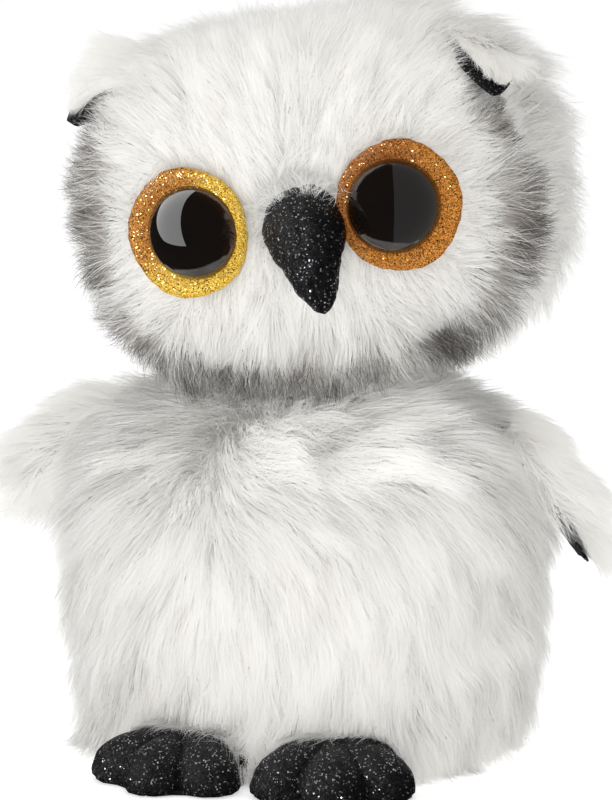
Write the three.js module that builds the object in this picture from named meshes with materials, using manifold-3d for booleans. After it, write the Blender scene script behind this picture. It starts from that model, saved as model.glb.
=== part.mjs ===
// A sitting plush owl, 15 cm tall: fur-fabric skins over stuffing, plastic eyes, a stuffed beak and feet,
// loose wings and ear flaps, a bag of pellets in the base and a press-to-play sound module in the belly.
// Millimetres, +Z up. The origin is the centre of the base on the ground, and the owl faces -Y.
import * as THREE from "three";
import { mergeVertices } from "three/addons/utils/BufferGeometryUtils.js";
import Module from "manifold-3d";

const wasm = await Module();
wasm.setup();

// ---- Driving dimensions ----
const SKIN = 4; // fur fabric with its pile pressed flat
const LINING = 1; // glitter fabric
const SEAM = 0.3; // gap between parts that touch
const THIN_CLOTH = 0.8; // bags and pouches
const AROUND = 28; // facets around a large soft form

const HEAD = { x: 44, y: 38, z: 33.5, plan: 2.5, side: 2.7 }; // half sizes and superellipse powers
const HEAD_AT = [1, 0, 110];
const HEAD_TURN = 8; // degrees towards the owl's own left, which is +X
const HEAD_ROLL = 8.4; // degrees, crown leaning to the owl's right
const BODY = { x: 43, y: 37, top: 72, waist: 38, plan: 2.2, side: 2.6, taper: 0.1 };
const NECK = { r: 15, cordRing: 12.5, cordR: 0.9 };

const FACE_SEAM_Y = -24; // in the head's frame: the face panel is in front of it
const FRINGE_WIDTH = 10; // grey-tipped strip behind the face panel
const FRINGE_TOP = 20; // the strip ends under the ears
const BASE_PANEL = 2;

const EYE = { x: 20.2, y: -34.9, z: -1.5, splay: 11, shankR: 2.5, shankLength: 13 };
const EYE_DOME = { r: 9, height: 6.5, towardsNose: 1.1 };
const EYE_DISC = { halfWidth: 11.8, halfHeight: 12.4, thickness: 1.2 };
const EYE_WASHER = { r: 6.5, thickness: 1.5, behind: 6.2 };

const BEAK = { halfWidth: 8.2, tipR: 2, bluntness: 2.3 };
// The beak's own bend: it is sewn a little to the owl's left and hooks down.
const BEAK_PATH = [
  [1.7, -29, -3.6],
  [2.2, -46, -1],
  [4.8, -45.5, -18.8],
];

const EAR = { length: 18, width: 18, fur: 3 };
// Where each ear's root sits on the head, and in degrees: how far it points forwards, how far its front edge is
// lower than its back edge, and how far it slopes down.
const EAR_POSE = {
  left: { at: [35, -6, 27], forwards: 52, frontLow: -22, slope: 34 },
  right: { at: [-28.5, -9, 31.9], forwards: 6, frontLow: 27, slope: 29 },
};
const WING = { x: 36.6, y: 6, z: 64.5, length: 33, width: 23 };
const WING_POSE = { left: { sweep: 25, lift: 33 }, right: { sweep: 14, lift: 55 } }; // degrees
const FOOT = { x: 14.6, y: -36.5, height: 9.5, reach: 18.6, splay: 14, skin: 1.2, hingeGap: 1.2 };
const TOE = { depth: 4.6, angle: 50 }; // how far the clefts go in, and degrees from one toe to the next

// Sound module. x and z are from the module's own centre, and y is in the owl's frame.
const MODULE = { z: 36, front: -21, split: -11.5, back: -2, r: 21, wall: 1.5 };
const BOARD = { front: -13, thickness: 1.4, halfWidth: 11.5, low: 2.5, high: 15 };
const BUTTON = { z: 11, r: 5.8, flangeR: 6.8, flange: 1, stemR: 1.4, proud: 2.6, travel: 1.2 };
const SPRING = { r: 3.6, wireR: 0.3, turns: 3, endGap: 0.4 };
const SWITCH = { r: 2.2, height: 0.9 };
const SPEAKER = { z: -5.5, r: 8, depth: 4, rim: 0.8, magnetR: 4.5, magnetDepth: 2.4, filmAt: 1.4, coneR: 3 };
const GRILLE = { holeR: 1, ringR: 4, count: 6 };
const WIRE = { r: 0.4, x: 3, low: 5.2 };
const CELL = { r: 5.8, thickness: 5.4, pitch: 12.2 };
const CONTACT = { thickness: 0.5, gap: 0.3, halfHeight: 3, from: -16, split: [4, 7], to: 16 };
const POST = { r: 2.5, bore: 1.3, counterbore: 2.3 };
const CASE_SCREWS = [
  [-15.2, 8.75],
  [15.2, 8.75],
  [0, -17.5],
];
const CASE_SCREW = { length: 15, headR: 2, shaftR: 1 };
const DOOR = { halfWidth: 18.4, halfHeight: 6.4, tabHalfWidth: 4, tabLow: -13 };
const DOOR_SCREW = { z: -9.8, length: 6, headR: 1.9, shaftR: 0.8, proud: 1.5 };
const DOOR_POST = { r: 2.2, bore: 1.1, depth: 5.5, shelf: 0.6, margin: 0.6 };
const SCREW_HEAD = 1.2;
const POUCH_ROOM = 3.6; // ahead of the case, so that the button can be pressed through the cloth

const PELLET_BAG = { r: 27, bottom: 2.6, height: 9.5, slitHalfWidth: 6, slitHalfDepth: 1 };
const ACCESS = { halfWidth: 19.5, low: 19, high: 52, rear: 40 }; // way in to the battery door
const CLOSURE = { halfWidth: 4.5, low: 20, high: 46, front: 29.2 };

// ---- Helpers: geometry to solid and back ----
const degrees = THREE.MathUtils.degToRad;

function solid(geometry) {
  const plain = geometry.index ? geometry.toNonIndexed() : geometry.clone();
  plain.deleteAttribute("normal");
  plain.deleteAttribute("uv");
  const merged = mergeVertices(plain, 1e-3);
  const kept = [];
  const index = merged.index.array;
  for (let i = 0; i < index.length; i += 3) {
    const [a, b, c] = index.slice(i, i + 3);
    if (a !== b && b !== c && a !== c) kept.push(a, b, c);
  }
  const mesh = new wasm.Mesh({
    numProp: 3,
    vertProperties: merged.attributes.position.array,
    triVerts: new Uint32Array(kept),
  });
  return new wasm.Manifold(mesh);
}

function geometryOf(manifold) {
  const mesh = manifold.getMesh();
  const position = new THREE.BufferAttribute(mesh.vertProperties, 3);
  const geometry = new THREE.BufferGeometry().setAttribute("position", position);
  geometry.setIndex(new THREE.BufferAttribute(mesh.triVerts, 1));
  geometry.computeVertexNormals();
  return geometry;
}

function block(low, high) {
  const size = high.map((h, i) => h - low[i]);
  const centre = high.map((h, i) => (h + low[i]) / 2);
  return solid(new THREE.BoxGeometry(...size).translate(...centre));
}

// A solid of revolution about Z from [radius, height] points, which run anticlockwise in the r-z plane.
function turned(points, around = 24) {
  const profile = points.map(([r, h]) => new THREE.Vector2(r, h));
  return new THREE.LatheGeometry(profile, around).rotateX(Math.PI / 2);
}

const rod = (r, low, high, around = 24) =>
  turned([[0, low], [r, low], [r, high], [0, high]], around);

// The same, lying along Y with its axis through (x, z).
const rodY = (r, front, back, x, z, around = 24) =>
  rod(r, front, back, around).rotateX(-Math.PI / 2).translate(x, 0, z);

function ringY(outer, inner, front, back, x, z, around = 24) {
  const bore = solid(rodY(inner, front - 1, back + 1, x, z, around));
  return solid(rodY(outer, front, back, x, z, around)).subtract(bore);
}

// Moves each vertex by a function of its position.
function shaped(geometry, move) {
  const position = geometry.attributes.position;
  const v = new THREE.Vector3();
  for (let i = 0; i < position.count; i++) {
    v.fromBufferAttribute(position, i);
    position.setXYZ(i, ...move(v.clone()).toArray());
  }
  return geometry;
}

// Turns a circular plan into a superellipse of half sizes x and y; the circle's radius is 1 at its widest.
function squarePlan(v, halfX, halfY, power) {
  const r = Math.hypot(v.x, v.y);
  if (r < 1e-6) return v;
  const c = Math.abs(v.x / r) ** power + Math.abs(v.y / r) ** power;
  const k = c ** (-1 / power);
  return v.set(v.x * k * halfX, v.y * k * halfY, v.z);
}

// ---- The two large soft forms ----
function headForm(inset) {
  const rows = 12;
  const points = Array.from({ length: rows + 1 }, (_, i) => {
    const t = -Math.PI / 2 + (Math.PI * i) / rows;
    const round = (x) => Math.sign(x) * Math.abs(x) ** (2 / HEAD.side);
    return [Math.max(0, round(Math.cos(t))), round(Math.sin(t)) * (HEAD.z - inset)];
  });
  points[0][0] = 0;
  points[rows][0] = 0;
  return solid(
    shaped(turned(points, AROUND), (v) => squarePlan(v, HEAD.x - inset, HEAD.y - inset, HEAD.plan)),
  );
}

function bodyRadius(z) {
  if (z < BODY.waist) return 1 - BODY.taper * ((BODY.waist - z) / BODY.waist) ** 2;
  const up = (z - BODY.waist) / (BODY.top - BODY.waist);
  return Math.max(0, 1 - up ** BODY.side) ** (1 / BODY.side);
}

function bodyForm(inset, bottom = 0) {
  const rows = 10;
  const points = [[0, bottom]];
  for (let i = 0; i <= rows; i++) {
    const up = Math.sin((Math.PI / 2) * (i / rows));
    const z = up * BODY.top;
    points.push([bodyRadius(z), Math.max(bottom, z - inset * up)]);
  }
  points[points.length - 1][0] = 0;
  return solid(
    shaped(turned(points, AROUND), (v) => squarePlan(v, BODY.x - inset, BODY.y - inset, BODY.plan)),
  );
}

// ---- Scene graph ----
const owl = new THREE.Group();

const FINISHES = {
  white_fur: { color: 0xf2f1ec, roughness: 0.95, metalness: 0 },
  grey_fur: { color: 0x8b8680, roughness: 0.95, metalness: 0 },
  glitter_black: { color: 0x141416, roughness: 0.6, metalness: 0.1 },
  glitter_gold: { color: 0xd08a12, roughness: 0.35, metalness: 0.5 },
  eye_black: { color: 0x070506, roughness: 0.05, metalness: 0 },
  washer_white: { color: 0xe8e8e4, roughness: 0.5, metalness: 0 },
  stuffing: { color: 0xf7f7f5, roughness: 1, metalness: 0 },
  base_cloth: { color: 0xeeece6, roughness: 0.9, metalness: 0 },
  bag_cloth: { color: 0xdedbd2, roughness: 0.9, metalness: 0 },
  pellets: { color: 0xcfd2d6, roughness: 0.4, metalness: 0 },
  case_plastic: { color: 0xdfe2e6, roughness: 0.45, metalness: 0 },
  button_plastic: { color: 0xc8472f, roughness: 0.4, metalness: 0 },
  board_green: { color: 0x1f6b3a, roughness: 0.5, metalness: 0 },
  steel: { color: 0xb9bcc0, roughness: 0.3, metalness: 1 },
  speaker_black: { color: 0x1b1c1e, roughness: 0.5, metalness: 0 },
  speaker_film: { color: 0xe6e3d8, roughness: 0.3, metalness: 0 },
  rubber_grey: { color: 0x6b6e72, roughness: 0.7, metalness: 0 },
  wire_red: { color: 0xb3221c, roughness: 0.5, metalness: 0 },
  wire_black: { color: 0x18181a, roughness: 0.5, metalness: 0 },
  tape_white: { color: 0xe9e7e0, roughness: 0.95, metalness: 0 },
};

function add(group, name, finish, shape) {
  const geometry = shape.isBufferGeometry ? shape : geometryOf(shape);
  const mesh = new THREE.Mesh(geometry, new THREE.MeshStandardMaterial(FINISHES[finish]));
  mesh.name = name;
  group.add(mesh);
}

// ---- Head: three panels of fur fabric over stuffing ----
const head = new THREE.Group();
head.position.set(...HEAD_AT);
head.rotation.set(0, degrees(-HEAD_ROLL), degrees(HEAD_TURN), "ZYX");
owl.add(head);

const FAR = 200;
const headOuter = headForm(0);
const neckHole = solid(rod(NECK.r, -FAR, 0, AROUND));

// A form in an eye's own frame: origin at the disc's centre, the eye looking along -Y, +X away from the nose.
function atEye(side, geometry) {
  return geometry.rotateZ(degrees(side * EYE.splay)).translate(side * EYE.x, EYE.y, EYE.z);
}

// A rod along the eye's axis, its own axis moved towards the nose.
function eyeRod(side, r, front, back, towardsNose = 0) {
  return solid(atEye(side, rodY(r, front, back, -side * towardsNose, 0, 16)));
}

function ovalDisc(side, grow, front, back) {
  const disc = rodY(1, front, back, 0, 0, 28);
  return solid(atEye(side, disc.scale(EYE_DISC.halfWidth + grow, 1, EYE_DISC.halfHeight + grow)));
}

function headPanels() {
  const shell = headOuter.subtract(headForm(SKIN)).subtract(neckHole);
  const half = SEAM / 2;
  const faceBlock = block([-FAR, -FAR, -FAR], [FAR, FACE_SEAM_Y, FAR]);
  const backOfFringe = FACE_SEAM_Y + FRINGE_WIDTH;
  const stripBlock = block([-FAR, FACE_SEAM_Y + half, -FAR], [FAR, backOfFringe, FRINGE_TOP]);
  const stripAndGap = block([-FAR, FACE_SEAM_Y - 1, -FAR], [FAR, backOfFringe + SEAM, FRINGE_TOP + SEAM]);
  const frontGap = block([-FAR, -FAR, -FAR], [FAR, FACE_SEAM_Y + SEAM, FAR]);
  const eyeCuts = [-1, 1].map((side) => {
    const discPocket = ovalDisc(side, SEAM, -12, EYE_DISC.thickness / 2 + SEAM);
    return discPocket.add(eyeRod(side, EYE.shankR + SEAM, -1, EYE.shankLength, EYE_DOME.towardsNose));
  });
  const face = eyeCuts.reduce((panel, cut) => panel.subtract(cut), shell.intersect(faceBlock));
  const crown = shell.subtract(frontGap).subtract(stripAndGap);
  add(head, "face_panel", "white_fur", face);
  add(head, "face_fringe", "grey_fur", shell.intersect(stripBlock));
  add(head, "crown_panel_right", "white_fur", crown.intersect(block([-FAR, -FAR, -FAR], [-half, FAR, FAR])));
  add(head, "crown_panel_left", "white_fur", crown.intersect(block([half, -FAR, -FAR], [FAR, FAR, FAR])));
}

function headStuffing() {
  let fill = headForm(SKIN + SEAM).subtract(solid(rod(NECK.r, -FAR, 4 - HEAD.z + SKIN, AROUND)));
  const { towardsNose } = EYE_DOME;
  const washerBack = EYE_WASHER.behind + EYE_WASHER.thickness;
  for (const side of [-1, 1]) {
    const pocket = eyeRod(side, EYE_WASHER.r + 1, -2, washerBack + SEAM, towardsNose);
    const shank = eyeRod(side, EYE.shankR + SEAM, -2, EYE.shankLength + 1, towardsNose);
    fill = fill.subtract(pocket).subtract(shank);
  }
  add(head, "head_stuffing", "stuffing", fill);
}

function eye(side, label) {
  const { r, height, towardsNose } = EYE_DOME;
  const front = -EYE_DISC.thickness / 2 - SEAM;
  const capR = (r * r + height * height) / (2 * height);
  const reach = Math.asin(r / capR);
  const rows = 5;
  const cap = Array.from({ length: rows + 1 }, (_, i) => {
    const t = reach * (1 - i / rows);
    return [capR * Math.sin(t), height - capR * (1 - Math.cos(t))];
  });
  cap[rows][0] = 0;
  // Drawn with the dome up, then laid down so that it looks along -Y.
  const shankEnd = front + EYE.shankLength;
  const profile = [[0, -shankEnd + front], [EYE.shankR, -shankEnd + front], [EYE.shankR, 0], ...cap];
  const dome = turned(profile, 20).rotateX(Math.PI / 2).translate(-side * towardsNose, front, 0);
  add(head, `eye_${label}_dome`, "eye_black", solid(atEye(side, dome)));

  const hole = eyeRod(side, EYE.shankR + SEAM, -5, 5, towardsNose);
  const half = EYE_DISC.thickness / 2;
  add(head, `eye_${label}_glitter_disc`, "glitter_gold", ovalDisc(side, 0, -half, half).subtract(hole));

  const { behind, thickness } = EYE_WASHER;
  const washer = eyeRod(side, EYE_WASHER.r, behind, behind + thickness, towardsNose);
  const bore = eyeRod(side, EYE.shankR + SEAM, behind - 1, behind + thickness + 1, towardsNose);
  add(head, `eye_${label}_washer`, "washer_white", washer.subtract(bore));
}

// A tapering round form swept along a curve in the YZ plane, with t running 0 to 1 from root to tip.
function tapered(path, radiusAt, rings = 8, around = 14) {
  const [a, b, c] = path.map((p) => new THREE.Vector3(...p));
  const curve = new THREE.QuadraticBezierCurve3(a, b, c);
  const side = new THREE.Vector3(1, 0, 0);
  return shaped(new THREE.CylinderGeometry(1, 1, 1, around, rings), (v) => {
    const t = THREE.MathUtils.clamp(v.y + 0.5, 0, 1);
    const up = new THREE.Vector3().crossVectors(side, curve.getTangent(t));
    return curve.getPoint(t).addScaledVector(side, v.x * radiusAt(t)).addScaledVector(up, v.z * radiusAt(t));
  });
}

function beak() {
  const radius = (inset) => (t) => {
    const full = BEAK.tipR + (BEAK.halfWidth - BEAK.tipR) * (1 - t ** BEAK.bluntness);
    return Math.max(0.5, full - inset);
  };
  const shorter = (by) => BEAK_PATH.map(([x, y, z], i) => [x, y, i === 2 ? z + by : z]);
  const faceAndEyes = [-1, 1].reduce((all, side) => all.add(ovalDisc(side, SEAM, -2, 2)), headForm(-SEAM));
  const outer = solid(tapered(BEAK_PATH, radius(0)));
  const hollow = solid(tapered(shorter(LINING), radius(LINING)));
  const fill = solid(tapered(shorter(LINING + SEAM), radius(LINING + SEAM)));
  add(head, "beak_cover", "glitter_black", outer.subtract(hollow).subtract(faceAndEyes));
  add(head, "beak_stuffing", "stuffing", fill.subtract(faceAndEyes));
}

// ---- Ear flaps: fur above, glitter lining below ----
function earOutline(shrink) {
  const half = EAR.width / 2 - shrink;
  const tip = EAR.length - shrink;
  const outline = new THREE.Shape();
  outline.moveTo(0, -half);
  outline.quadraticCurveTo(tip * 0.75, -half, tip, -2);
  outline.quadraticCurveTo(tip + 1, 0, tip, 2);
  outline.quadraticCurveTo(tip * 0.75, half, 0, half);
  outline.closePath();
  return outline;
}

function slab(outline, low, high) {
  const options = { depth: high - low, bevelEnabled: false, curveSegments: 5 };
  return new THREE.ExtrudeGeometry(outline, options).translate(0, 0, low);
}

function ear(side, label) {
  const { at, forwards, frontLow, slope } = EAR_POSE[label];
  const flap = new THREE.Group();
  flap.position.set(...at);
  flap.rotation.set(degrees(frontLow), degrees(side * slope), degrees(-side * forwards), "ZXY");
  head.add(flap);
  const turn = side < 0 ? Math.PI : 0;
  const furLow = LINING + SEAM;
  add(flap, `ear_${label}_fur`, "white_fur", slab(earOutline(0), furLow, furLow + EAR.fur).rotateZ(turn));
  add(flap, `ear_${label}_lining`, "glitter_black", slab(earOutline(0.6), 0, LINING).rotateZ(turn));
}

// ---- Neck: the drawn cord between the head's opening and the body's ----
function neck() {
  const cord = new THREE.TorusGeometry(NECK.cordRing, NECK.cordR, 6, 24).translate(0, 0, BODY.top + 1.3);
  add(owl, "neck_cord", "tape_white", solid(cord));
}

// ---- Body: belly and back panels, base, stuffing and pellet bag ----
function bodyPanels() {
  const half = SEAM / 2;
  const shell = bodyForm(0).subtract(bodyForm(SKIN, -5)).subtract(solid(rod(NECK.r, 0, FAR, AROUND)));
  const cut = shell.intersect(block([-FAR, -FAR, BASE_PANEL + SEAM], [FAR, FAR, FAR]));
  add(owl, "belly_panel", "white_fur", cut.intersect(block([-FAR, -FAR, -FAR], [FAR, -half, FAR])));
  add(owl, "back_panel_right", "white_fur", cut.intersect(block([-FAR, half, -FAR], [-half, FAR, FAR])));
  add(owl, "back_panel_left", "white_fur", cut.intersect(block([half, half, -FAR], [FAR, FAR, FAR])));
  const base = bodyForm(1).intersect(block([-FAR, -FAR, 0], [FAR, FAR, BASE_PANEL]));
  add(owl, "base_panel", "base_cloth", base);
}

// A flat-bottomed dome inside the base: the pellet bag and the room round it.
function pelletForm(grow, floor = PELLET_BAG.bottom - grow) {
  const { r, bottom, height } = PELLET_BAG;
  const rows = 5;
  const points = Array.from({ length: rows + 1 }, (_, i) => {
    const t = (Math.PI / 2) * (i / rows);
    return [(r + grow) * Math.cos(t), Math.max(floor, bottom + (height + grow) * Math.sin(t))];
  });
  points[rows][0] = 0;
  return solid(turned([[0, floor], [r + grow, floor], ...points], 22));
}

function bodyFilling() {
  const { slitHalfWidth, slitHalfDepth } = PELLET_BAG;
  const fillerSlit = block([-slitHalfWidth, -slitHalfDepth, 0], [slitHalfWidth, slitHalfDepth, FAR]);
  const bag = pelletForm(0).subtract(pelletForm(-THIN_CLOTH)).subtract(fillerSlit);
  add(owl, "pellet_bag", "bag_cloth", bag);
  add(owl, "pellet_fill", "pellets", pelletForm(-THIN_CLOTH - SEAM));

  const { r, front, back, z } = MODULE;
  const pouchSpace = solid(rodY(r + THIN_CLOTH + 1.4, front - 5, back + SEAM, 0, z, 28));
  const { halfWidth, low, high, rear } = ACCESS;
  const access = block([-halfWidth, back - 4, low], [halfWidth, rear, high]);
  const aboveBase = block([-FAR, -FAR, BASE_PANEL + SEAM], [FAR, FAR, FAR]);
  const neckRoom = solid(rod(NECK.r + 1, BODY.top - SKIN - 3, FAR, AROUND));
  const fill = bodyForm(SKIN + SEAM)
    .intersect(aboveBase)
    .subtract(pelletForm(SEAM, 0))
    .subtract(pouchSpace)
    .subtract(access)
    .subtract(neckRoom);
  add(owl, "body_stuffing", "stuffing", fill);

  const strip = (y) =>
    block([-CLOSURE.halfWidth, y, CLOSURE.low], [CLOSURE.halfWidth, y + LINING, CLOSURE.high]);
  add(owl, "closure_loop_strip", "tape_white", strip(CLOSURE.front));
  add(owl, "closure_hook_strip", "tape_white", strip(CLOSURE.front + LINING + SEAM));
}

// ---- Sound module: a round case facing the belly, its axis along Y ----
function caseHalves() {
  const { z, front, split, back, r, wall } = MODULE;
  const frontRim = split - SEAM / 2;
  const backRim = split + SEAM / 2;
  let frontHalf = solid(rodY(r, front, frontRim, 0, z, 28))
    .subtract(solid(rodY(r - wall, front + wall, split + 1, 0, z, 28)))
    .subtract(solid(rodY(BUTTON.r + SEAM, front - 1, front + wall + 1, 0, z + BUTTON.z)));
  const ring = Array.from({ length: GRILLE.count }, (_, i) => {
    const a = (i / GRILLE.count) * 2 * Math.PI;
    return [GRILLE.ringR * Math.cos(a), GRILLE.ringR * Math.sin(a)];
  });
  for (const [x, h] of [[0, 0], ...ring]) {
    const hole = rodY(GRILLE.holeR, front - 1, front + wall + 1, x, z + SPEAKER.z + h, 6);
    frontHalf = frontHalf.subtract(solid(hole));
  }
  let backHalf = solid(rodY(r, backRim, back, 0, z, 28));
  backHalf = backHalf.subtract(solid(rodY(r - wall, split - 1, back - wall, 0, z, 28)));
  const sunk = 0.1; // posts run this far into the wall
  for (const [x, h] of CASE_SCREWS) {
    frontHalf = frontHalf.add(ringY(POST.r, POST.bore, front + wall - sunk, frontRim, x, z + h, 10));
    backHalf = backHalf.add(ringY(POST.r, POST.bore, backRim, back - wall + sunk, x, z + h, 10));
    backHalf = backHalf.subtract(solid(rodY(POST.counterbore, back - wall, back + 1, x, z + h, 10)));
  }
  return [frontHalf, backHalf];
}

// The door's outline grown by a margin, from one depth to another.
function doorForm(grow, from, to) {
  const { halfWidth, halfHeight, tabHalfWidth, tabLow } = DOOR;
  const [w, h, t] = [halfWidth + grow, halfHeight + grow, tabHalfWidth + grow];
  const { z } = MODULE;
  const tab = block([-t, from, z + tabLow - grow], [t, to, z - h + 1]);
  return block([-w, from, z - h], [w, to, z + h]).add(tab);
}

function moduleCase() {
  const { z, back, wall } = MODULE;
  const [frontHalf, openBack] = caseHalves();
  const { r, bore, depth, shelf, margin } = DOOR_POST;
  const inside = back - wall;
  const screwZ = z + DOOR_SCREW.z;
  const doorPost = ringY(r, bore, inside - depth, inside - shelf, 0, screwZ, 10);
  const half = DOOR.tabHalfWidth + margin;
  const ledgeLow = z + DOOR.tabLow - margin;
  const ledgeHigh = z - DOOR.halfHeight - 0.8;
  const ledge = block([-half, inside - shelf - 1, ledgeLow], [half, inside - shelf + 0.2, ledgeHigh]);
  const rib = block([-half, inside - shelf - 1, ledgeLow - 0.8], [half, back, z + DOOR.tabLow - 0.1]);
  const boredLedge = ledge.subtract(solid(rodY(bore, inside - depth - 1, back, 0, screwZ, 10)));
  const opening = doorForm(0, inside - 1, back + 1);
  const backHalf = openBack.subtract(opening).add(doorPost).add(boredLedge).add(rib);
  add(owl, "module_case_front", "case_plastic", frontHalf);
  add(owl, "module_case_back", "case_plastic", backHalf);

  const screwHole = solid(rodY(POST.bore + 0.1, inside - 1, back + 1, 0, screwZ, 10));
  add(owl, "battery_door", "case_plastic", doorForm(-SEAM, inside + 0.1, back).subtract(screwHole));
}

// The head faces +Y and the shaft runs towards -Y.
function screw(name, x, h, headAt, { length, headR, shaftR }) {
  const profile = [
    [0, 0],
    [headR, 0],
    [headR, SCREW_HEAD],
    [shaftR, SCREW_HEAD],
    [shaftR, length],
    [0, length],
  ];
  const shape = turned(profile, 10).rotateX(Math.PI / 2).translate(x, headAt, MODULE.z + h);
  add(owl, name, "steel", solid(shape));
}

function boardAndSwitch() {
  const { z } = MODULE;
  const { front, thickness, halfWidth, low, high } = BOARD;
  const board = block([-halfWidth, front, z + low], [halfWidth, front + thickness, z + high]);
  add(owl, "circuit_board", "board_green", board);
  const domeBack = front - SEAM;
  const dome = rodY(SWITCH.r, domeBack - SWITCH.height, domeBack, 0, z + BUTTON.z, 16);
  add(owl, "switch_dome", "rubber_grey", dome);
}

function speaker() {
  const { r, depth, rim, magnetR, magnetDepth, filmAt, coneR } = SPEAKER;
  const z = MODULE.z + SPEAKER.z;
  const inner = MODULE.front + MODULE.wall;
  const plate = solid(rodY(r - SEAM, inner + depth - rim, inner + depth, 0, z, 20));
  const basket = ringY(r, r - rim, inner + SEAM, inner + depth, 0, z, 20).add(plate);
  add(owl, "speaker_basket", "speaker_black", basket);
  const magnetFront = inner + depth + 0.2;
  add(owl, "speaker_magnet", "steel", rodY(magnetR, magnetFront, magnetFront + magnetDepth, 0, z, 16));
  const edge = r - rim - SEAM;
  const film = turned([[0, 0], [coneR, 0.3], [edge, 0.3], [edge, 0.8], [coneR, 0.8], [0, 0.5]], 20);
  add(owl, "speaker_film", "speaker_film", film.rotateX(-Math.PI / 2).translate(0, inner + filmAt, z));

  const low = z + WIRE.low;
  for (const [label, x] of [["red", -WIRE.x], ["black", WIRE.x]]) {
    const path = new THREE.CatmullRomCurve3([
      new THREE.Vector3(x, inner + 4.8, low),
      new THREE.Vector3(x * 1.2, inner + 5.4, low + 0.9),
      new THREE.Vector3(x * 1.2, inner + 6, low + 2.2),
    ]);
    const round = new THREE.Shape().absarc(0, 0, WIRE.r, 0, Math.PI * 2);
    const wire = new THREE.ExtrudeGeometry(round, { steps: 5, extrudePath: path, curveSegments: 3 });
    add(owl, `speaker_wire_${label}`, `wire_${label}`, solid(wire));
  }
}

function batteries() {
  const { z, back, wall } = MODULE;
  const front = back - wall - SEAM - CELL.thickness;
  [-1, 0, 1].forEach((place, i) => {
    const cell = rodY(CELL.r, front, front + CELL.thickness, place * CELL.pitch, z, 16);
    add(owl, `button_cell_${i + 1}`, "steel", cell);
  });
  const { thickness, gap, halfHeight, from, split, to } = CONTACT;
  const contact = (low, high) =>
    block([low, front - gap - thickness, z - halfHeight], [high, front - gap, z + halfHeight]);
  add(owl, "battery_contact_bridge", "steel", contact(from, split[0]));
  add(owl, "battery_contact_end", "steel", contact(split[1], to));
}

function button() {
  const z = MODULE.z + BUTTON.z;
  const { r, flangeR, flange, stemR, proud, travel } = BUTTON;
  const flangeFront = MODULE.front + MODULE.wall + SEAM;
  const stemTip = BOARD.front - SEAM - SWITCH.height - travel - 0.2;
  const at = (radius, low, high) => solid(rodY(radius, low, high, 0, z));
  const cap = at(r, MODULE.front - proud, flangeFront + 0.2)
    .add(at(flangeR, flangeFront, flangeFront + flange))
    .add(at(stemR, flangeFront, stemTip));
  add(owl, "press_button", "button_plastic", cap);

  const from = flangeFront + flange + SEAM + SPRING.endGap;
  const to = BOARD.front - SEAM - SPRING.endGap;
  const perTurn = 8;
  const count = SPRING.turns * perTurn;
  const points = Array.from({ length: count + 1 }, (_, i) => {
    const a = (i / perTurn) * Math.PI * 2;
    const y = from + ((to - from) * i) / count;
    return new THREE.Vector3(SPRING.r * Math.cos(a), y, z + SPRING.r * Math.sin(a));
  });
  const coil = new THREE.CatmullRomCurve3(points);
  const round = new THREE.Shape().absarc(0, 0, SPRING.wireR, 0, Math.PI * 2);
  const wire = new THREE.ExtrudeGeometry(round, { steps: count, extrudePath: coil, curveSegments: 2 });
  add(owl, "button_spring", "steel", solid(wire));
}

function pouch() {
  const { z, front, back, r } = MODULE;
  const inside = solid(rodY(r + SEAM, front - POUCH_ROOM, back + 1, 0, z, 28));
  const outside = solid(rodY(r + SEAM + THIN_CLOTH, front - POUCH_ROOM - THIN_CLOTH, back, 0, z, 28));
  add(owl, "module_pouch", "bag_cloth", outside.subtract(inside));
}

// ---- Wings: a leaf hung from the shoulder, fur outside and lining towards the body ----
function wingOutline(shrink) {
  const half = WING.width / 2 - shrink;
  const long = WING.length - shrink;
  const outline = new THREE.Shape();
  outline.moveTo(-half * 0.7, 0);
  outline.quadraticCurveTo(-half * 1.15, -long * 0.5, -half * 0.62, -long * 0.86);
  outline.quadraticCurveTo(0, -long * 1.14, half * 0.62, -long * 0.86);
  outline.quadraticCurveTo(half * 1.15, -long * 0.5, half * 0.7, 0);
  outline.closePath();
  return outline;
}

function wing(side, label) {
  const { sweep, lift } = WING_POSE[label];
  const arm = new THREE.Group();
  arm.position.set(side * WING.x, WING.y, WING.z);
  arm.rotation.set(0, degrees(-side * lift), degrees(side * sweep), "ZYX");
  owl.add(arm);
  // The outline's x becomes Y, its y becomes Z and its depth becomes X.
  const upright = (shape) => shape.rotateX(Math.PI / 2).rotateZ(Math.PI / 2);
  const layer = (outline, low, high) => {
    const [a, b] = side > 0 ? [low, high] : [-high, -low];
    return upright(slab(outline, a, b));
  };
  add(arm, `wing_${label}_fur`, "white_fur", layer(wingOutline(0), SEAM, SKIN + SEAM));
  add(arm, `wing_${label}_lining`, "glitter_black", layer(wingOutline(0.8), -LINING, 0));
}

// ---- Feet: three padded toes each, fanned outwards, on a flat sole ----
// Distance from the foot's centre to its edge at an angle from straight ahead.
function footReach(angle) {
  const between = degrees(TOE.angle);
  const behindToes = Math.abs(angle) > 1.5 * between;
  const lobe = behindToes ? 0 : Math.abs(Math.cos((Math.PI * angle) / between)) ** 0.7;
  return FOOT.reach - TOE.depth * (1 - lobe);
}

function footForm(side, inset, bottom) {
  const top = FOOT.height - inset;
  const profile = [
    [0, bottom],
    [0.96, bottom],
    [1, top * 0.3],
    [0.97, top * 0.6],
    [0.84, top * 0.84],
    [0.55, top * 0.97],
    [0, top],
  ];
  const form = shaped(turned(profile, 36), (v) => {
    const reach = footReach(Math.atan2(v.x, -v.y)) - inset;
    return v.set(v.x * reach, v.y * reach, v.z);
  });
  return solid(form.rotateZ(degrees(side * FOOT.splay)).translate(side * FOOT.x, FOOT.y, 0));
}

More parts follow.
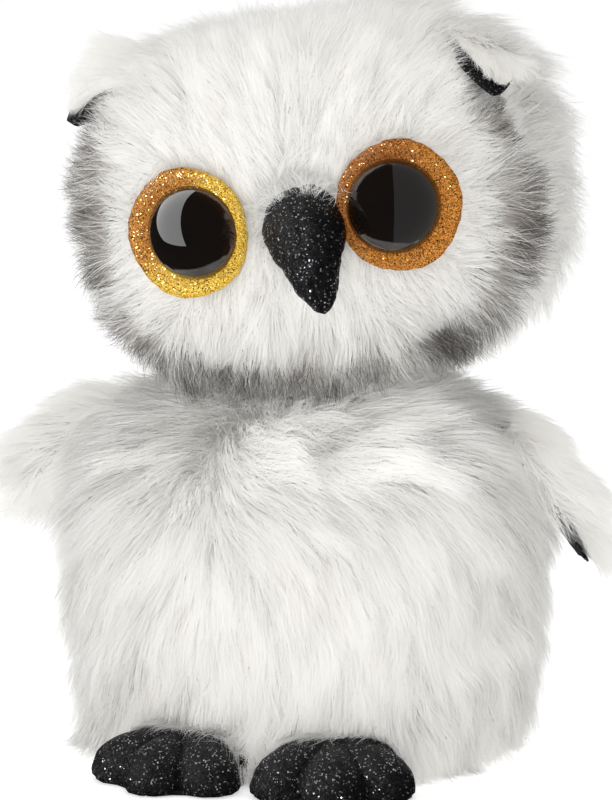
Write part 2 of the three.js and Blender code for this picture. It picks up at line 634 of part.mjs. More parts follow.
function foot(side, label) {
  const { skin, hingeGap } = FOOT;
  const above = block([-FAR, -FAR, LINING + SEAM], [FAR, FAR, FAR]);
  const belowSeam = block([-FAR, -FAR, 0], [FAR, FAR, LINING]);
  const outer = footForm(side, 0, 0).subtract(bodyForm(-hingeGap, -5));
  const cover = outer.intersect(above).subtract(footForm(side, skin, -1));
  const fill = footForm(side, skin + SEAM, 0).intersect(above);
  add(owl, `foot_${label}_cover`, "glitter_black", cover);
  add(owl, `foot_${label}_stuffing`, "stuffing", fill.subtract(bodyForm(-hingeGap - SEAM, -5)));
  add(owl, `foot_${label}_sole`, "glitter_black", outer.intersect(belowSeam));
}

headPanels();
headStuffing();
eye(1, "left");
eye(-1, "right");
beak();
ear(1, "left");
ear(-1, "right");
neck();
bodyPanels();
bodyFilling();
moduleCase();
CASE_SCREWS.forEach(([x, h], i) => screw(`case_screw_${i + 1}`, x, h, MODULE.back - 0.1, CASE_SCREW));
screw("door_screw", 0, DOOR_SCREW.z, MODULE.back + DOOR_SCREW.proud, DOOR_SCREW);
boardAndSwitch();
speaker();
batteries();
button();
pouch();
wing(1, "left");
wing(-1, "right");
foot(1, "left");
foot(-1, "right");

export default owl;
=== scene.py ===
"""A sitting plush owl: long white fur over sewn skins, glitter-ringed glossy eyes, a hooked glitter beak,
flopped ears, loose wings and padded feet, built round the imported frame."""

import math

import bpy
import numpy as np
from mathutils import Matrix, Vector, kdtree


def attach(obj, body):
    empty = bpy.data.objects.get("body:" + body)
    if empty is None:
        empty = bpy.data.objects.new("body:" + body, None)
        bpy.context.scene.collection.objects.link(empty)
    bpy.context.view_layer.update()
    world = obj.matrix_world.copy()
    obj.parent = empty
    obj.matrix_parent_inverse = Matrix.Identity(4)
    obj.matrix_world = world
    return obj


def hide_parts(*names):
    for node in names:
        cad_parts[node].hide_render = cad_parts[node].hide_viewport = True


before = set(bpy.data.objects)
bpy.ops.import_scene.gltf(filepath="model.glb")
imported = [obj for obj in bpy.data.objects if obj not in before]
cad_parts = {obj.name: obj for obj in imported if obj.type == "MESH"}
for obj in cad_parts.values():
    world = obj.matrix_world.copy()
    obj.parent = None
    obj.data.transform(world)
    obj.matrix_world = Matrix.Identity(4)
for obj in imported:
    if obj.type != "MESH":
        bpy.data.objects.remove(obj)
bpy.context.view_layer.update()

MM = 0.001

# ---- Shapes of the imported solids, in millimetres and degrees; a key of 1 is the owl's left and -1 its right ----
HEAD_AT = np.array([1.0, 0.0, 110.0])
HEAD_TURN, HEAD_ROLL = 8.0, 8.4
HEAD = dict(a=44.0, b=38.0, c=33.5, plan=2.5, side=2.7)
FACE_SEAM, FRINGE_BACK, FRINGE_TOP = -24.0, -14.0, 20.0
BODY = dict(a=43.0, b=37.0, top=72.0, waist=38.0, plan=2.2, side=2.6, taper=0.1)
NECK_R = 15.0
EYE = dict(x=20.2, y=-34.9, z=-1.5, splay=11.0)
BEAK_ROOT = dict(x=1.9, y=-40.0, z=-2.6, half_width=8.2, half_height=8.6)
BEAK_PATH = ((1.7, -29, -3.6), (2.2, -46, -1), (4.8, -45.5, -18.8))
DOME = dict(r=9.0, height=6.5, nose=1.1)
DISC = dict(w=11.8, h=12.4, t=1.2)
EAR = dict(length=18.0, width=18.0)
EAR_POSE = {1: dict(at=(35.0, -6.0, 27.0), forwards=52.0, front_low=-22.0, slope=34.0),
            -1: dict(at=(-28.5, -9.0, 31.9), forwards=6.0, front_low=27.0, slope=29.0)}
WING = dict(x=36.6, y=6.0, z=64.5, length=33.0, width=23.0, thick=2.4)
WING_POSE = {1: dict(sweep=25.0, lift=33.0), -1: dict(sweep=14.0, lift=55.0)}
FOOT = dict(x=14.6, y=-36.5, height=9.5, reach=18.6, toe_depth=4.6, toe=math.radians(50), splay=14.0)
# Each ear's lining: its thickness, its growth at the free end, how far it lies ahead of the flap, and how far ahead
# of the flap the crown's pile is kept short for it.
EAR_LINING = {1: 0.9, -1: 1.8}
EAR_GROW = {1: (0.06, 0.28, 0.0), -1: (0.11, 0.36, 0.0)}
EAR_AHEAD = {1: 1.2, -1: 1.7}
EAR_CLEAR = {1: 0.0, -1: 2.2}
# How many degrees each wing's padding goes round, at the root and at the tip, and how much its pile hangs.
WING_WRAP = {1: (150.0, 84.0), -1: (150.0, 150.0)}
WING_HANG = {1: 0.3, -1: 2.0}
SIDES = {1: "left", -1: "right"}
BACKING_INSET = 2.6

# ---- Pile: strands per square millimetre, segments of a strand, and its width from root to tip ----
DENSITY = 6.4
STEPS = 4
TAPER = np.array([1.0, 0.95, 0.8, 0.52, 0.0])
UV_NAME = "OFBake"
NOWHERE = 99.0


# ---- Vector helpers ----
def unit(v):
    return v / np.maximum(np.linalg.norm(v, axis=-1, keepdims=True), 1e-9)


def dot(a, b):
    return (a * b).sum(-1, keepdims=True)


def step(x, low, high):
    t = np.clip((x - low) / (high - low), 0, 1)
    return t * t * (3 - 2 * t)


def cos_sin(deg):
    return math.cos(math.radians(deg)), math.sin(math.radians(deg))


def turn_x(deg):
    c, s = cos_sin(deg)
    return np.array([[1, 0, 0], [0, c, -s], [0, s, c]])


def turn_y(deg):
    c, s = cos_sin(deg)
    return np.array([[c, 0, s], [0, 1, 0], [-s, 0, c]])


def turn_z(deg):
    c, s = cos_sin(deg)
    return np.array([[c, -s, 0], [s, c, 0], [0, 0, 1]])


class Place:
    """A rotation and an origin: a sub-part's own frame inside the row frame."""

    def __init__(self, turn, at):
        self.turn, self.at = np.asarray(turn, float), np.asarray(at, float)

    def out(self, p):
        return p @ self.turn.T + self.at

    def spin(self, v):
        return v @ self.turn.T

    def within(self, turn, at):
        return Place(self.turn @ turn, self.out(np.asarray(at, float)))


WORLD = Place(np.eye(3), np.zeros(3))
HEAD_PLACE = Place(turn_z(HEAD_TURN) @ turn_y(-HEAD_ROLL), HEAD_AT)


def waves(p, wavelength, seed, count=7):
    """Smooth noise, mostly within -1..1, that varies over the wavelength."""
    r = np.random.default_rng(seed)
    k = unit(r.normal(size=(count, 3))) * (2 * math.pi / wavelength) * r.uniform(0.6, 1.7, (count, 1))
    return np.sin(p @ k.T + r.uniform(0, 2 * math.pi, count)).sum(1) / math.sqrt(count) * 0.9


def wander(p, wavelength, seed):
    return np.stack([waves(p, wavelength, seed + i) for i in range(3)], -1)


# ---- Meshes ----
def add_object(name, data):
    ob = bpy.data.objects.new(name, data)
    bpy.context.scene.collection.objects.link(ob)
    return ob


def make_mesh(name, verts_mm, faces, body, place=WORLD):
    mesh = bpy.data.meshes.new(name)
    mesh.from_pydata((place.out(np.asarray(verts_mm)) * MM).tolist(), [], [list(map(int, f)) for f in faces])
    mesh.validate()
    mesh.polygons.foreach_set("use_smooth", [True] * len(mesh.polygons))
    ob = add_object(name, mesh)
    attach(ob, body)
    return ob


def dress(ob, material, node, slot):
    """Gives a made piece its material, and hides the CAD node that it stands for. The colour slot is not used."""
    ob.data.materials.append(material)
    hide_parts(node)


def line_with_glitter(ob, thickness_mm, node):
    solid = ob.modifiers.new("thickness", "SOLIDIFY")
    solid.thickness = thickness_mm * MM
    dress(ob, GLITTER_BLACK, node, "glitter_black")


def paint_points(ob, name, values):
    ob.data.attributes.new(name, "FLOAT", "POINT").data.foreach_set("value", values.astype(np.float32))


def grid_faces(rows, cols, closed=False):
    """Quads of a rows by cols grid of points; closed joins the last column to the first."""
    r, c = np.meshgrid(np.arange(rows - 1), np.arange(cols if closed else cols - 1), indexing="ij")
    d = (c + 1) % cols
    return np.stack([r * cols + c, r * cols + d, (r + 1) * cols + d, (r + 1) * cols + c], -1).reshape(-1, 4)


def vertex_normals(v, f):
    n = np.zeros_like(v)
    a, b, c, d = (v[f[:, i]] for i in range(4))
    face = np.cross(c - a, d - b)
    for i in range(4):
        np.add.at(n, f[:, i], face)
    return unit(n)


class Sheet:
    """A quad surface to grow fur from, with its outward normals."""

    def __init__(self, v, f, n=None):
        self.v, self.f = np.asarray(v, float), np.asarray(f)
        self.n = vertex_normals(self.v, self.f) if n is None else n

    def centre(self):
        return self.v[self.f].mean(1)

    def part(self, keep):
        used, again = np.unique(self.f[keep], return_inverse=True)
        return Sheet(self.v[used], again.reshape(-1, 4), self.n[used])

    def inset(self, by):
        return Sheet(self.v - self.n * by, self.f, self.n)

    def scatter(self, per_mm2, seed, weight=None):
        """Random points on the sheet and their normals."""
        r = np.random.default_rng(seed)
        tri = np.concatenate([self.f[:, [0, 1, 2]], self.f[:, [0, 2, 3]]])
        a, b, c = (self.v[tri[:, i]] for i in range(3))
        area = np.linalg.norm(np.cross(b - a, c - a), axis=1) / 2
        if weight is not None:
            area = area * weight((a + b + c) / 3)
        pick = r.choice(len(tri), int(area.sum() * per_mm2), p=area / area.sum())
        u, w = r.random((2, len(pick), 1))
        flip = u + w > 1
        u, w = np.where(flip, 1 - u, u), np.where(flip, 1 - w, w)
        mix = lambda q: q[tri[pick, 0]] * (1 - u - w) + q[tri[pick, 1]] * u + q[tri[pick, 2]] * w
        return mix(self.v), unit(mix(self.n))


# ---- Fur ----
def across(flow, normal):
    return unit(flow - normal * dot(flow, normal))


def follow(root, normal, flow, length, lift):
    """Points along each strand: it leaves the skin at lift[0] degrees and ends at lift[1]."""
    flow = across(flow, normal)
    points = [root]
    for k in range(STEPS):
        t = (k + 0.5) / STEPS
        a = np.radians(lift[0] * (1 - t) ** 1.3 + lift[1] * (1 - (1 - t) ** 1.3))
        go = normal * np.sin(a)[:, None] + flow * np.cos(a)[:, None]
        points.append(points[-1] + go * (length / STEPS)[:, None])
    return np.stack(points, 1)


def nearest(points, centres):
    tree = kdtree.KDTree(len(centres))
    for i, c in enumerate(centres):
        tree.insert(c, i)
    tree.balance()
    return np.array([tree.find(p)[1] for p in points])


def gather(path, root, spacing, pull, seed):
    """Draws the strands together into locks about spacing apart, more towards the tips."""
    r = np.random.default_rng(seed)
    density = len(root) / max(1.0, hull_area(root))
    count = max(2, int(len(root) / (density * spacing**2)))
    chosen = r.choice(len(root), count, replace=False)
    lead = chosen[nearest(root, root[chosen])]
    t = np.linspace(0, 1, path.shape[1])[None, :, None]
    pull = pull * r.uniform(0.55, 1.15, (len(root), 1, 1))
    return path + (path[lead] - path) * np.clip(pull, 0, 1) * t**1.25


def hull_area(root):
    """Rough area that the roots cover, from the boxes they occupy: a skin fills about 0.62 of a box's face."""
    box = 3
    return len(np.unique(np.floor(root / box).astype(int), axis=0)) * box**2 * 0.62


def fur(name, body, place, root, normal, flow, length, lift, seed, mat, width=0.115, tone=None,
        small=(1.7, 0.42), large=(9.0, 0.2), stray=12.0, frizz=0.6, settle=None, turned=0.0):
    """A piece of fur: a tapered ribbon from each root, in locks, with strays.

    small and large are the locks' spacing and pull. turned leans the ribbons' faces, and tone sets the tint of each.
    """
    r = np.random.default_rng(seed)
    n = len(root)
    drift = wander(root, 9, seed + 11) * 0.28 + wander(root, 3.5, seed + 12) * 0.16
    flow = across(flow, normal) + drift + r.normal(size=(n, 3)) * math.tan(math.radians(stray))
    length = length * (1 + 0.14 * waves(root, 8, seed + 13)) * r.uniform(0.72, 1.1, n)
    rise = 9 * waves(root, 7, seed + 14) + r.normal(size=n) * 6
    path = follow(root, normal, flow, length, (lift[0] + rise, lift[1] + rise * 0.8))
    path = gather(path, root, *small, seed + 15)
    path = gather(path, root, *large, seed + 16)
    t = np.linspace(0, 1, STEPS + 1)[None, :, None]
    bend = unit(r.normal(size=(n, 1, 3)))
    path = path + bend * frizz * np.sin(t * r.uniform(2.2, 4.6, (n, 1, 1))) * t
    if settle is not None:
        path = settle(path)
    tangent = unit(np.gradient(path, axis=1))
    # Each ribbon turns its face roughly outwards, so that it is lit as part of the coat.
    outward = unit(normal + turned)[:, None, :]
    facing = outward + unit(r.normal(size=(n, 1, 3))) * 0.75
    side = unit(np.cross(tangent, facing))
    half = 0.5 * width * r.uniform(0.7, 1.3, (n, 1, 1)) * TAPER[None, :, None]
    left, right = path - side * half, path + side * half
    shade = unit(outward + unit(r.normal(size=(n, 1, 3))) * 0.2)
    shade = unit(shade - tangent * dot(shade, tangent) * 0.5)
    if tone is None:
        tone = np.clip(0.6 + 0.2 * waves(root, 14, seed + 17) + r.normal(size=n) * 0.14, 0.02, 0.98)
    # Levels 0 to k - 1 have two vertices and the tip has one.
    k = STEPS
    body_v = np.stack([left[:, :k], right[:, :k]], 2).reshape(n, 2 * k, 3)
    verts = np.concatenate([body_v, path[:, k:]], 1)
    shades = np.concatenate([np.repeat(shade[:, :k], 2, 1), shade[:, k:]], 1)
    along = np.concatenate([np.repeat(np.arange(k) / k, 2), [1.0]])
    per = 2 * k + 1
    base = np.arange(n)[:, None] * per
    quads = np.array([[2 * i, 2 * i + 1, 2 * i + 3, 2 * i + 2] for i in range(k - 1)])
    quads = (base[:, :, None] + quads[None]).reshape(-1, 4)
    tips = base + np.array([[2 * k - 2, 2 * k - 1, 2 * k]])
    loops = np.concatenate([quads.ravel(), tips.ravel()]).astype(np.int32)
    starts = np.concatenate([np.arange(len(quads)) * 4, len(quads) * 4 + np.arange(len(tips)) * 3]).astype(np.int32)

    mesh = bpy.data.meshes.new(name)
    mesh.vertices.add(n * per)
    mesh.vertices.foreach_set("co", (place.out(verts.reshape(-1, 3)) * MM).astype(np.float32).ravel())
    mesh.loops.add(len(loops))
    mesh.loops.foreach_set("vertex_index", loops)
    mesh.polygons.add(len(starts))
    mesh.polygons.foreach_set("loop_start", starts)
    mesh.update(calc_edges=True)
    uv = 0.02 + 0.96 * np.stack([np.repeat(tone, per), np.tile(along, n)], 1)
    layer = mesh.uv_layers.new(name=UV_NAME)
    layer.data.foreach_set("uv", uv[loops].astype(np.float32).ravel())
    mesh.polygons.foreach_set("use_smooth", [True] * len(starts))
    mesh.normals_split_custom_set_from_vertices(place.spin(shades.reshape(-1, 3)).astype(np.float32))
    mesh.materials.append(mat)
    ob = add_object(name, mesh)
    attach(ob, body)
    return ob


# ---- Materials ----
class Nodes:
    """Short calls for building a node material."""

    def __init__(self, name):
        self.mat = bpy.data.materials.new(name)
        self.mat.use_nodes = True
        self.tree = self.mat.node_tree
        self.bsdf = self.tree.nodes["Principled BSDF"]
        self.where = self.add("ShaderNodeTexCoord").outputs["Object"]

    def add(self, kind, **inputs):
        node = self.tree.nodes.new(kind)
        for key, value in inputs.items():
            self.set(node, key, value)
        return node

    def set(self, node, key, value):
        """A key names an input, with _ for a space, or is i and its number."""
        socket = node.inputs[int(key[1:]) if key[0] == "i" and key[1:].isdigit() else key.replace("_", " ")]
        if isinstance(value, bpy.types.NodeSocket):
            self.tree.links.new(value, socket)
        else:
            socket.default_value = value

    def surface(self, **inputs):
        for key, value in inputs.items():
            self.set(self.bsdf, key, value)

    def math(self, operation, a, b):
        node = self.add("ShaderNodeMath", i0=a, i1=b)
        node.operation = operation
        return node.outputs[0]

    def vector(self, operation, a, b=(0.0, 0.0, 0.0)):
        node = self.add("ShaderNodeVectorMath", i0=a, i1=b)
        node.operation = operation
        return node.outputs[0]

    def attribute(self, name):
        node = self.add("ShaderNodeAttribute")
        node.attribute_name = name
        return node.outputs["Fac"]

    def noise(self, size_mm, detail=3.0, rough=0.5, where=None):
        node = self.add("ShaderNodeTexNoise", Vector=where or self.where, Scale=1 / (size_mm * MM), Detail=detail,
                        Roughness=rough)
        return node.outputs["Fac"]

    def cells(self, size_mm):
        return self.add("ShaderNodeTexVoronoi", Vector=self.where, Scale=1 / (size_mm * MM)).outputs["Color"]

    def ramp(self, value, *stops):
        node = self.add("ShaderNodeValToRGB", Fac=value)
        points = node.color_ramp.elements
        while len(points) < len(stops):
            points.new(0.5)
        for point, (at, colour) in zip(points, stops):
            point.position = at
            point.color = (*colour, 1) if not isinstance(colour, float) else (colour,) * 3 + (1,)
        return node.outputs["Color"]

    def mix(self, factor, a, b, blend="MIX"):
        node = self.add("ShaderNodeMix")
        node.data_type, node.blend_type = "RGBA", blend
        for index, value in ((0, factor), (6, a), (7, b)):
            self.set(node, f"i{index}", value if isinstance(value, (bpy.types.NodeSocket, float)) else (*value, 1))
        return node.outputs[2]

    def bump(self, height, distance_mm, strength=1.0):
        node = self.add("ShaderNodeBump", Height=height, Distance=distance_mm * MM, Strength=strength)
        self.surface(Normal=node.outputs["Normal"])
        return self.mat

    def part(self, colour, channel):
        return self.add("ShaderNodeSeparateColor", Color=colour).outputs[channel]

    def strand(self):
        """Each strand's tone, and how far along it a point is: fur keeps both in its UV map."""
        at = self.add("ShaderNodeUVMap")
        at.uv_map = UV_NAME
        split = self.add("ShaderNodeSeparateXYZ", Vector=at.outputs[0])
        return split.outputs["X"], split.outputs["Y"]

    def translucent(self, colour, share):
        through = self.add("ShaderNodeBsdfTranslucent", Color=colour)
        both = self.add("ShaderNodeMixShader", i0=share, i1=self.bsdf.outputs[0], i2=through.outputs[0])
        self.tree.links.new(both.outputs[0], self.tree.nodes["Material Output"].inputs["Surface"])


def fur_material(name, stops, light, dark):
    """stops run from root to tip, darker at the root as painted shade deep in the pile; light and dark are the tints
    of the palest and deepest tones.
    """
    m = Nodes(name)
    tone, along = m.strand()
    colour = m.mix(1.0, m.ramp(along, *stops), m.mix(tone, dark, light), "MULTIPLY")
    m.surface(Base_Color=colour, Roughness=0.75, Sheen_Weight=0.15, Specular_IOR_Level=0.15)
    m.translucent(colour, 0.4)
    return m.mat


def fringe_material():
    """The tone picks how dark a strand's tip is: pale strands stay white, deep ones run to near black."""
    m = Nodes("fringe_fur")
    tone, along = m.strand()
    # Pale strands are painted darker towards the root: painted shade deep in the pile.
    pale = m.ramp(along, (0.0, (0.80, 0.79, 0.77)), (1.0, (0.93, 0.92, 0.90)))
    deep = m.ramp(along, (0.0, (0.78, 0.76, 0.73)), (0.28, (0.54, 0.50, 0.46)),
                  (0.55, (0.19, 0.17, 0.155)), (1.0, (0.045, 0.04, 0.04)))
    colour = m.mix(m.ramp(tone, (0.15, 0.0), (0.75, 1.0)), pale, deep)
    m.surface(Base_Color=colour, Roughness=0.7, Sheen_Weight=0.1, Specular_IOR_Level=0.2)
    m.translucent(colour, 0.25)
    return m.mat


def glitter_material(name, flake_mm, tints, sparkle, glint, rough, patch_mix, shaded=None):
    """Fabric crusted with flakes: each flake has its own colour, and a few lean and shine like small mirrors.

    tints are the flakes' deep, middle and bright colours, and shaded a deeper set painted as shade where the mesh is
    marked as shaded.
    """
    m = Nodes(name)
    flake = m.cells(flake_mm)
    spread = lambda colours: m.ramp(m.part(flake, "Red"), *zip((0.0, 0.55, 1.0), colours))
    colour = m.mix(m.math("MULTIPLY", m.noise(flake_mm * 9, 2.0), patch_mix), spread(tints), tints[1])
    if shaded:
        colour = m.mix(m.attribute("shaded"), colour, spread(shaded))
    shiny = m.ramp(m.part(flake, "Green"), (1 - sparkle - 0.02, 0.0), (1 - sparkle + 0.02, 1.0))
    lean = m.vector("MULTIPLY", m.vector("SUBTRACT", flake, (0.5, 0.5, 0.5)), (0.95, 0.95, 0.95))
    skin = m.add("ShaderNodeNewGeometry").outputs["Normal"]
    m.surface(Base_Color=m.mix(shiny, colour, glint), Metallic=shiny, Specular_IOR_Level=0.25,
              Roughness=m.math("SUBTRACT", rough, m.math("MULTIPLY", shiny, rough * 0.5)),
              Normal=m.vector("NORMALIZE", m.vector("ADD", skin, lean)))
    return m.mat


def cloth_material(name, colour, thread_mm=0.35):
    m = Nodes(name)
    spot = m.noise(thread_mm * 14, 4.0)
    dark = tuple(c * 0.868 for c in colour)
    m.surface(Base_Color=m.mix(spot, dark, colour), Roughness=0.85, Sheen_Weight=0.3)
    wave = [m.add("ShaderNodeTexWave", Vector=m.where, Scale=0.16 / (thread_mm * MM), Distortion=1.2) for _ in (0, 1)]
    wave[0].bands_direction, wave[1].bands_direction = "X", "Z"
    return m.bump(m.math("MULTIPLY", wave[0].outputs["Fac"], wave[1].outputs["Fac"]), thread_mm * 0.3, 0.6)


def fibre_material(name, colour):
    m = Nodes(name)
    strands = m.noise(1.2, 8.0, 0.75)
    dark = tuple(c * 0.82 for c in colour)
    m.surface(Base_Color=m.mix(strands, dark, colour), Roughness=1.0, Sheen_Weight=0.4)
    return m.bump(strands, 0.8)


def plastic_material(name, colour, rough=0.45, grain=0.02):
    m = Nodes(name)
    cloud = m.noise(6, 3.0)
    dark = tuple(c * 0.9 for c in colour)
    m.surface(Base_Color=m.mix(cloud, dark, colour),
              Roughness=m.math("ADD", m.math("MULTIPLY", cloud, 0.15), rough - 0.07))
    return m.bump(m.noise(0.25, 2.0), grain)


def metal_material(name, colour):
    m = Nodes(name)
    streak = m.add("ShaderNodeMapping", Vector=m.where, Scale=(1.0, 12.0, 1.0))
    line = m.noise(1.5, 3.0, where=streak.outputs[0])
    dark = tuple(c * 0.8 for c in colour)
    m.surface(Base_Color=m.mix(line, dark, colour), Metallic=1.0,
              Roughness=m.math("ADD", m.math("MULTIPLY", line, 0.18), 0.19))
    return m.bump(line, 0.01)


def eye_material():
    m = Nodes("eye_plastic")
    # Brown at the rim is the plastic's own tint, painted stronger there as the glow of light through the thin edge.
    colour = m.ramp(m.attribute("rim"), (0.0, (0.004, 0.003, 0.003)), (0.84, (0.006, 0.004, 0.003)),
                    (0.94, (0.02, 0.008, 0.003)), (1.0, (0.12, 0.045, 0.008)))
    m.surface(Base_Color=colour, Roughness=m.math("ADD", m.math("MULTIPLY", m.noise(9, 2.0), 0.02), 0.02),
              Coat_Weight=0.6, Coat_Roughness=0.02)
    return m.mat


# The white pile is painted darker towards the root: painted shade deep in the pile.
FUR_WHITE = fur_material("white_fur",
                         ((0.0, (0.93, 0.925, 0.905)), (0.4, (0.965, 0.96, 0.948)), (1.0, (0.985, 0.983, 0.978))),
                         light=(1.0, 1.0, 0.997), dark=(0.955, 0.948, 0.93))
FUR_FRINGE = fringe_material()
# The skins are the backing cloth, painted grey as the shade deep in the pile; the fringe's skin is painted darker
# still.
BACKING = fibre_material("fur_backing", (0.84, 0.83, 0.81))
BACKING_GREY = fibre_material("fringe_backing", (0.42, 0.40, 0.38))
BLACK_TINTS = (0.001, 0.001, 0.0015), (0.004, 0.004, 0.005), (0.012, 0.012, 0.014)
COPPER_TINTS = (0.14, 0.03, 0.004), (0.50, 0.17, 0.015), (0.80, 0.38, 0.07)
BROWN_TINTS = (0.12, 0.03, 0.004), (0.34, 0.10, 0.012), (0.55, 0.22, 0.04)
GOLD_TINTS = (0.32, 0.10, 0.005), (0.80, 0.46, 0.03), (1.0, 0.84, 0.16)
GLITTER_BLACK = glitter_material("black_glitter", 0.26, BLACK_TINTS, 0.05, (0.75, 0.75, 0.8), 0.6, 0.55)
# Each ring's second set of tints is painted shade.
GLITTER_RING = {
    1: glitter_material("copper_glitter", 0.19, COPPER_TINTS, 0.16, (1.0, 0.62, 0.25), 0.5, 0.2, BROWN_TINTS),
    -1: glitter_material("gold_glitter", 0.19, GOLD_TINTS, 0.16, (1.0, 0.85, 0.3), 0.5, 0.2, COPPER_TINTS),
}
EYE_BLACK = eye_material()
CLOTH = cloth_material("base_cloth", (0.86, 0.85, 0.81))


# ---- Head ----
def head_level(q):
    """1 on the head's surface, less inside it."""
    x, y, z = (np.abs(q[..., i] / HEAD[axis]) for i, axis in enumerate("abc"))
    plan = (x ** HEAD["plan"] + y ** HEAD["plan"]) ** (1 / HEAD["plan"])
    return (plan ** HEAD["side"] + z ** HEAD["side"]) ** (1 / HEAD["side"])


def head_sheet(rows=90, cols=180):
    lat = np.linspace(-math.pi / 2 + 0.02, math.pi / 2 - 0.02, rows)[:, None]
    lon = np.linspace(0, 2 * math.pi, cols, endpoint=False)[None, :]
    d = np.stack([np.cos(lat) * np.cos(lon), np.cos(lat) * np.sin(lon), np.sin(lat) * np.ones_like(lon)], -1)
    d = d.reshape(-1, 3) * np.array([HEAD["a"], HEAD["b"], HEAD["c"]])
    v = d / head_level(d)[:, None]
    return Sheet(v, grid_faces(rows, cols, True))


def eye_axes(side):
    turn = turn_z(side * EYE["splay"])
    return turn, np.array([side * EYE["x"], EYE["y"], EYE["z"]])


def eye_distance(p):
    """How far outside the nearest eye's oval disc a point of the head lies, in millimetres: below 0 is inside."""
    best = np.full(len(p), 1e3)
    for side in SIDES:
        turn, at = eye_axes(side)
        q = (p - at) @ turn
        r = np.hypot(q[:, 0] / DISC["w"], q[:, 2] / DISC["h"])
        best = np.minimum(best, (r - 1) * DISC["h"] + np.where(q[:, 1] > 25, NOWHERE, 0))
    return best


def beak_distance(p):
    """The same from the oval where the beak meets the face."""
    half = BEAK_ROOT["half_width"]
    r = np.hypot((p[:, 0] - BEAK_ROOT["x"]) / half, (p[:, 2] - BEAK_ROOT["z"]) / BEAK_ROOT["half_height"])
    return (r - 1) * half + np.where(p[:, 1] > 0, NOWHERE, 0)


def near_to(p, at, reach):
    """1 at a point, falling to 0 some way past reach."""
    return np.exp(-((np.linalg.norm(p - np.asarray(at), axis=1) / reach) ** 2))


def head_flow(p):
    """The way the pile is combed: out from between the eyes, round the eyes and ears, then back and down."""
    away = unit(p - np.array([0.0, -38.0, -1.0]))
    front = 1 - step(p[:, 1], -12, 22)
    flow = away * front[:, None]
    for side in SIDES:
        _, at = eye_axes(side)
        flow = flow + unit(p - at) * near_to(p, at, 17)[:, None] * 1.3
    for side in SIDES:
        flow = flow + np.array([side * 1.0, -0.2, 0.1]) * near_to(p, EAR_POSE[side]["at"], 13)[:, None] * 2
    back = np.array([0.0, 0.25, -1.0])
    top = step(p[:, 2], 8, 30)[:, None]
    rear = back * (1 - top) + np.array([0.0, 1.0, -0.25]) * top
    flow = flow + rear * (1 - front)[:, None]
    # Below the chin the pile hangs.
    chin = step(-p[:, 2], 12, 26)[:, None] * np.array([0.0, 0.1, -0.9])
    return flow + chin


head = head_sheet()
inner = head.inset(BACKING_INSET)
c = head.centre()
clear_of_neck = ~((np.hypot(c[:, 0], c[:, 1]) < NECK_R) & (c[:, 2] < 0))
is_face = c[:, 1] < FACE_SEAM
is_fringe = (c[:, 1] >= FACE_SEAM) & (c[:, 1] < FRINGE_BACK) & (c[:, 2] < FRINGE_TOP)
is_crown = ~is_face & ~is_fringe & clear_of_neck
HEAD_PANELS = {
    "face_panel": is_face & (eye_distance(c) > -3),
    "face_fringe": is_fringe,
    "crown_panel_left": is_crown & (c[:, 0] > 0),
    "crown_panel_right": is_crown & (c[:, 0] <= 0),
}
for node, keep in HEAD_PANELS.items():
    part = inner.part(keep)
    skin = make_mesh(f"{node}_backing", part.v, part.f, "head", HEAD_PLACE)
    dress(skin, *((BACKING_GREY, node, "grey_fur") if node == "face_fringe" else (BACKING, node, "white_fur")))


def ear_turn(side):
    pose = EAR_POSE[side]
    return turn_z(-side * pose["forwards"]) @ turn_x(pose["front_low"]) @ turn_y(side * pose["slope"])


def under_ears(p):
    """1 where the head is covered by an ear at rest, 0 elsewhere."""
    cover = np.zeros(len(p))
    for side in SIDES:
        q = (p - EAR_POSE[side]["at"]) @ ear_turn(side)
        along = side * q[:, 0] / EAR["length"]
        across = np.maximum(q[:, 1], -q[:, 1] - EAR_CLEAR[side]) / (EAR["width"] / 2)
        inside = step(along, 0.05, 0.3) * (1 - step(along, 1.1, 1.4)) * (1 - step(across, 1.0, 1.3))
        cover = np.maximum(cover, inside * (q[:, 2] > -16))
    return cover


def head_fur(name, keep, seed):
    """White pile on part of the head: short round the eyes and beak, longer behind and under the chin."""
    # Little grows where the neck hides it.
    hidden = lambda p: 1 - 0.75 * step(-p[:, 2], 27, 32) * step(25 - np.hypot(p[:, 0], p[:, 1]), 0, 6)
    root, normal = inner.part(keep).scatter(DENSITY, seed, hidden)
    # Pile fills the space behind the outer edge of each ring, where the face curves away from it.
    behind_ring = (eye_distance(root) > -4.5) & (np.abs(root[:, 0]) > EYE["x"] + 4)
    out = ((eye_distance(root) > -0.6) | behind_ring) & (beak_distance(root) > 0.4)
    root, normal = root[out], normal[out]
    near = np.minimum(eye_distance(root), beak_distance(root))
    length = 4.2 + 8.8 * step(near, -1, 17)
    behind = step(root[:, 1], -16, 0) * (1 - step(root[:, 2], 18, 30))
    rear = step(root[:, 1], 12, 30)
    beard = step(-root[:, 2], 12, 26) * (root[:, 1] < -10) * (1 + 0.5 * waves(root, 7, 73))
    length = length * (1 + 0.5 * behind) * (1 - 0.22 * rear) + 4.5 * beard
    by_ear = sum(near_to(root, np.array(EAR_POSE[side]["at"]) + [-7 * side, 0, 2], 9) for side in SIDES)
    length = (length + 2.5 * by_ear) * (1 - 0.65 * under_ears(root))
    lift = (34 + 14 * step(near, 0, 14) + 14 * by_ear + 8 * behind - 10 * rear,
            4 + 8 * behind + 10 * by_ear - 6 * rear)
    fur(name, "head", HEAD_PLACE, root, normal, head_flow(root), length, lift, seed, FUR_WHITE)


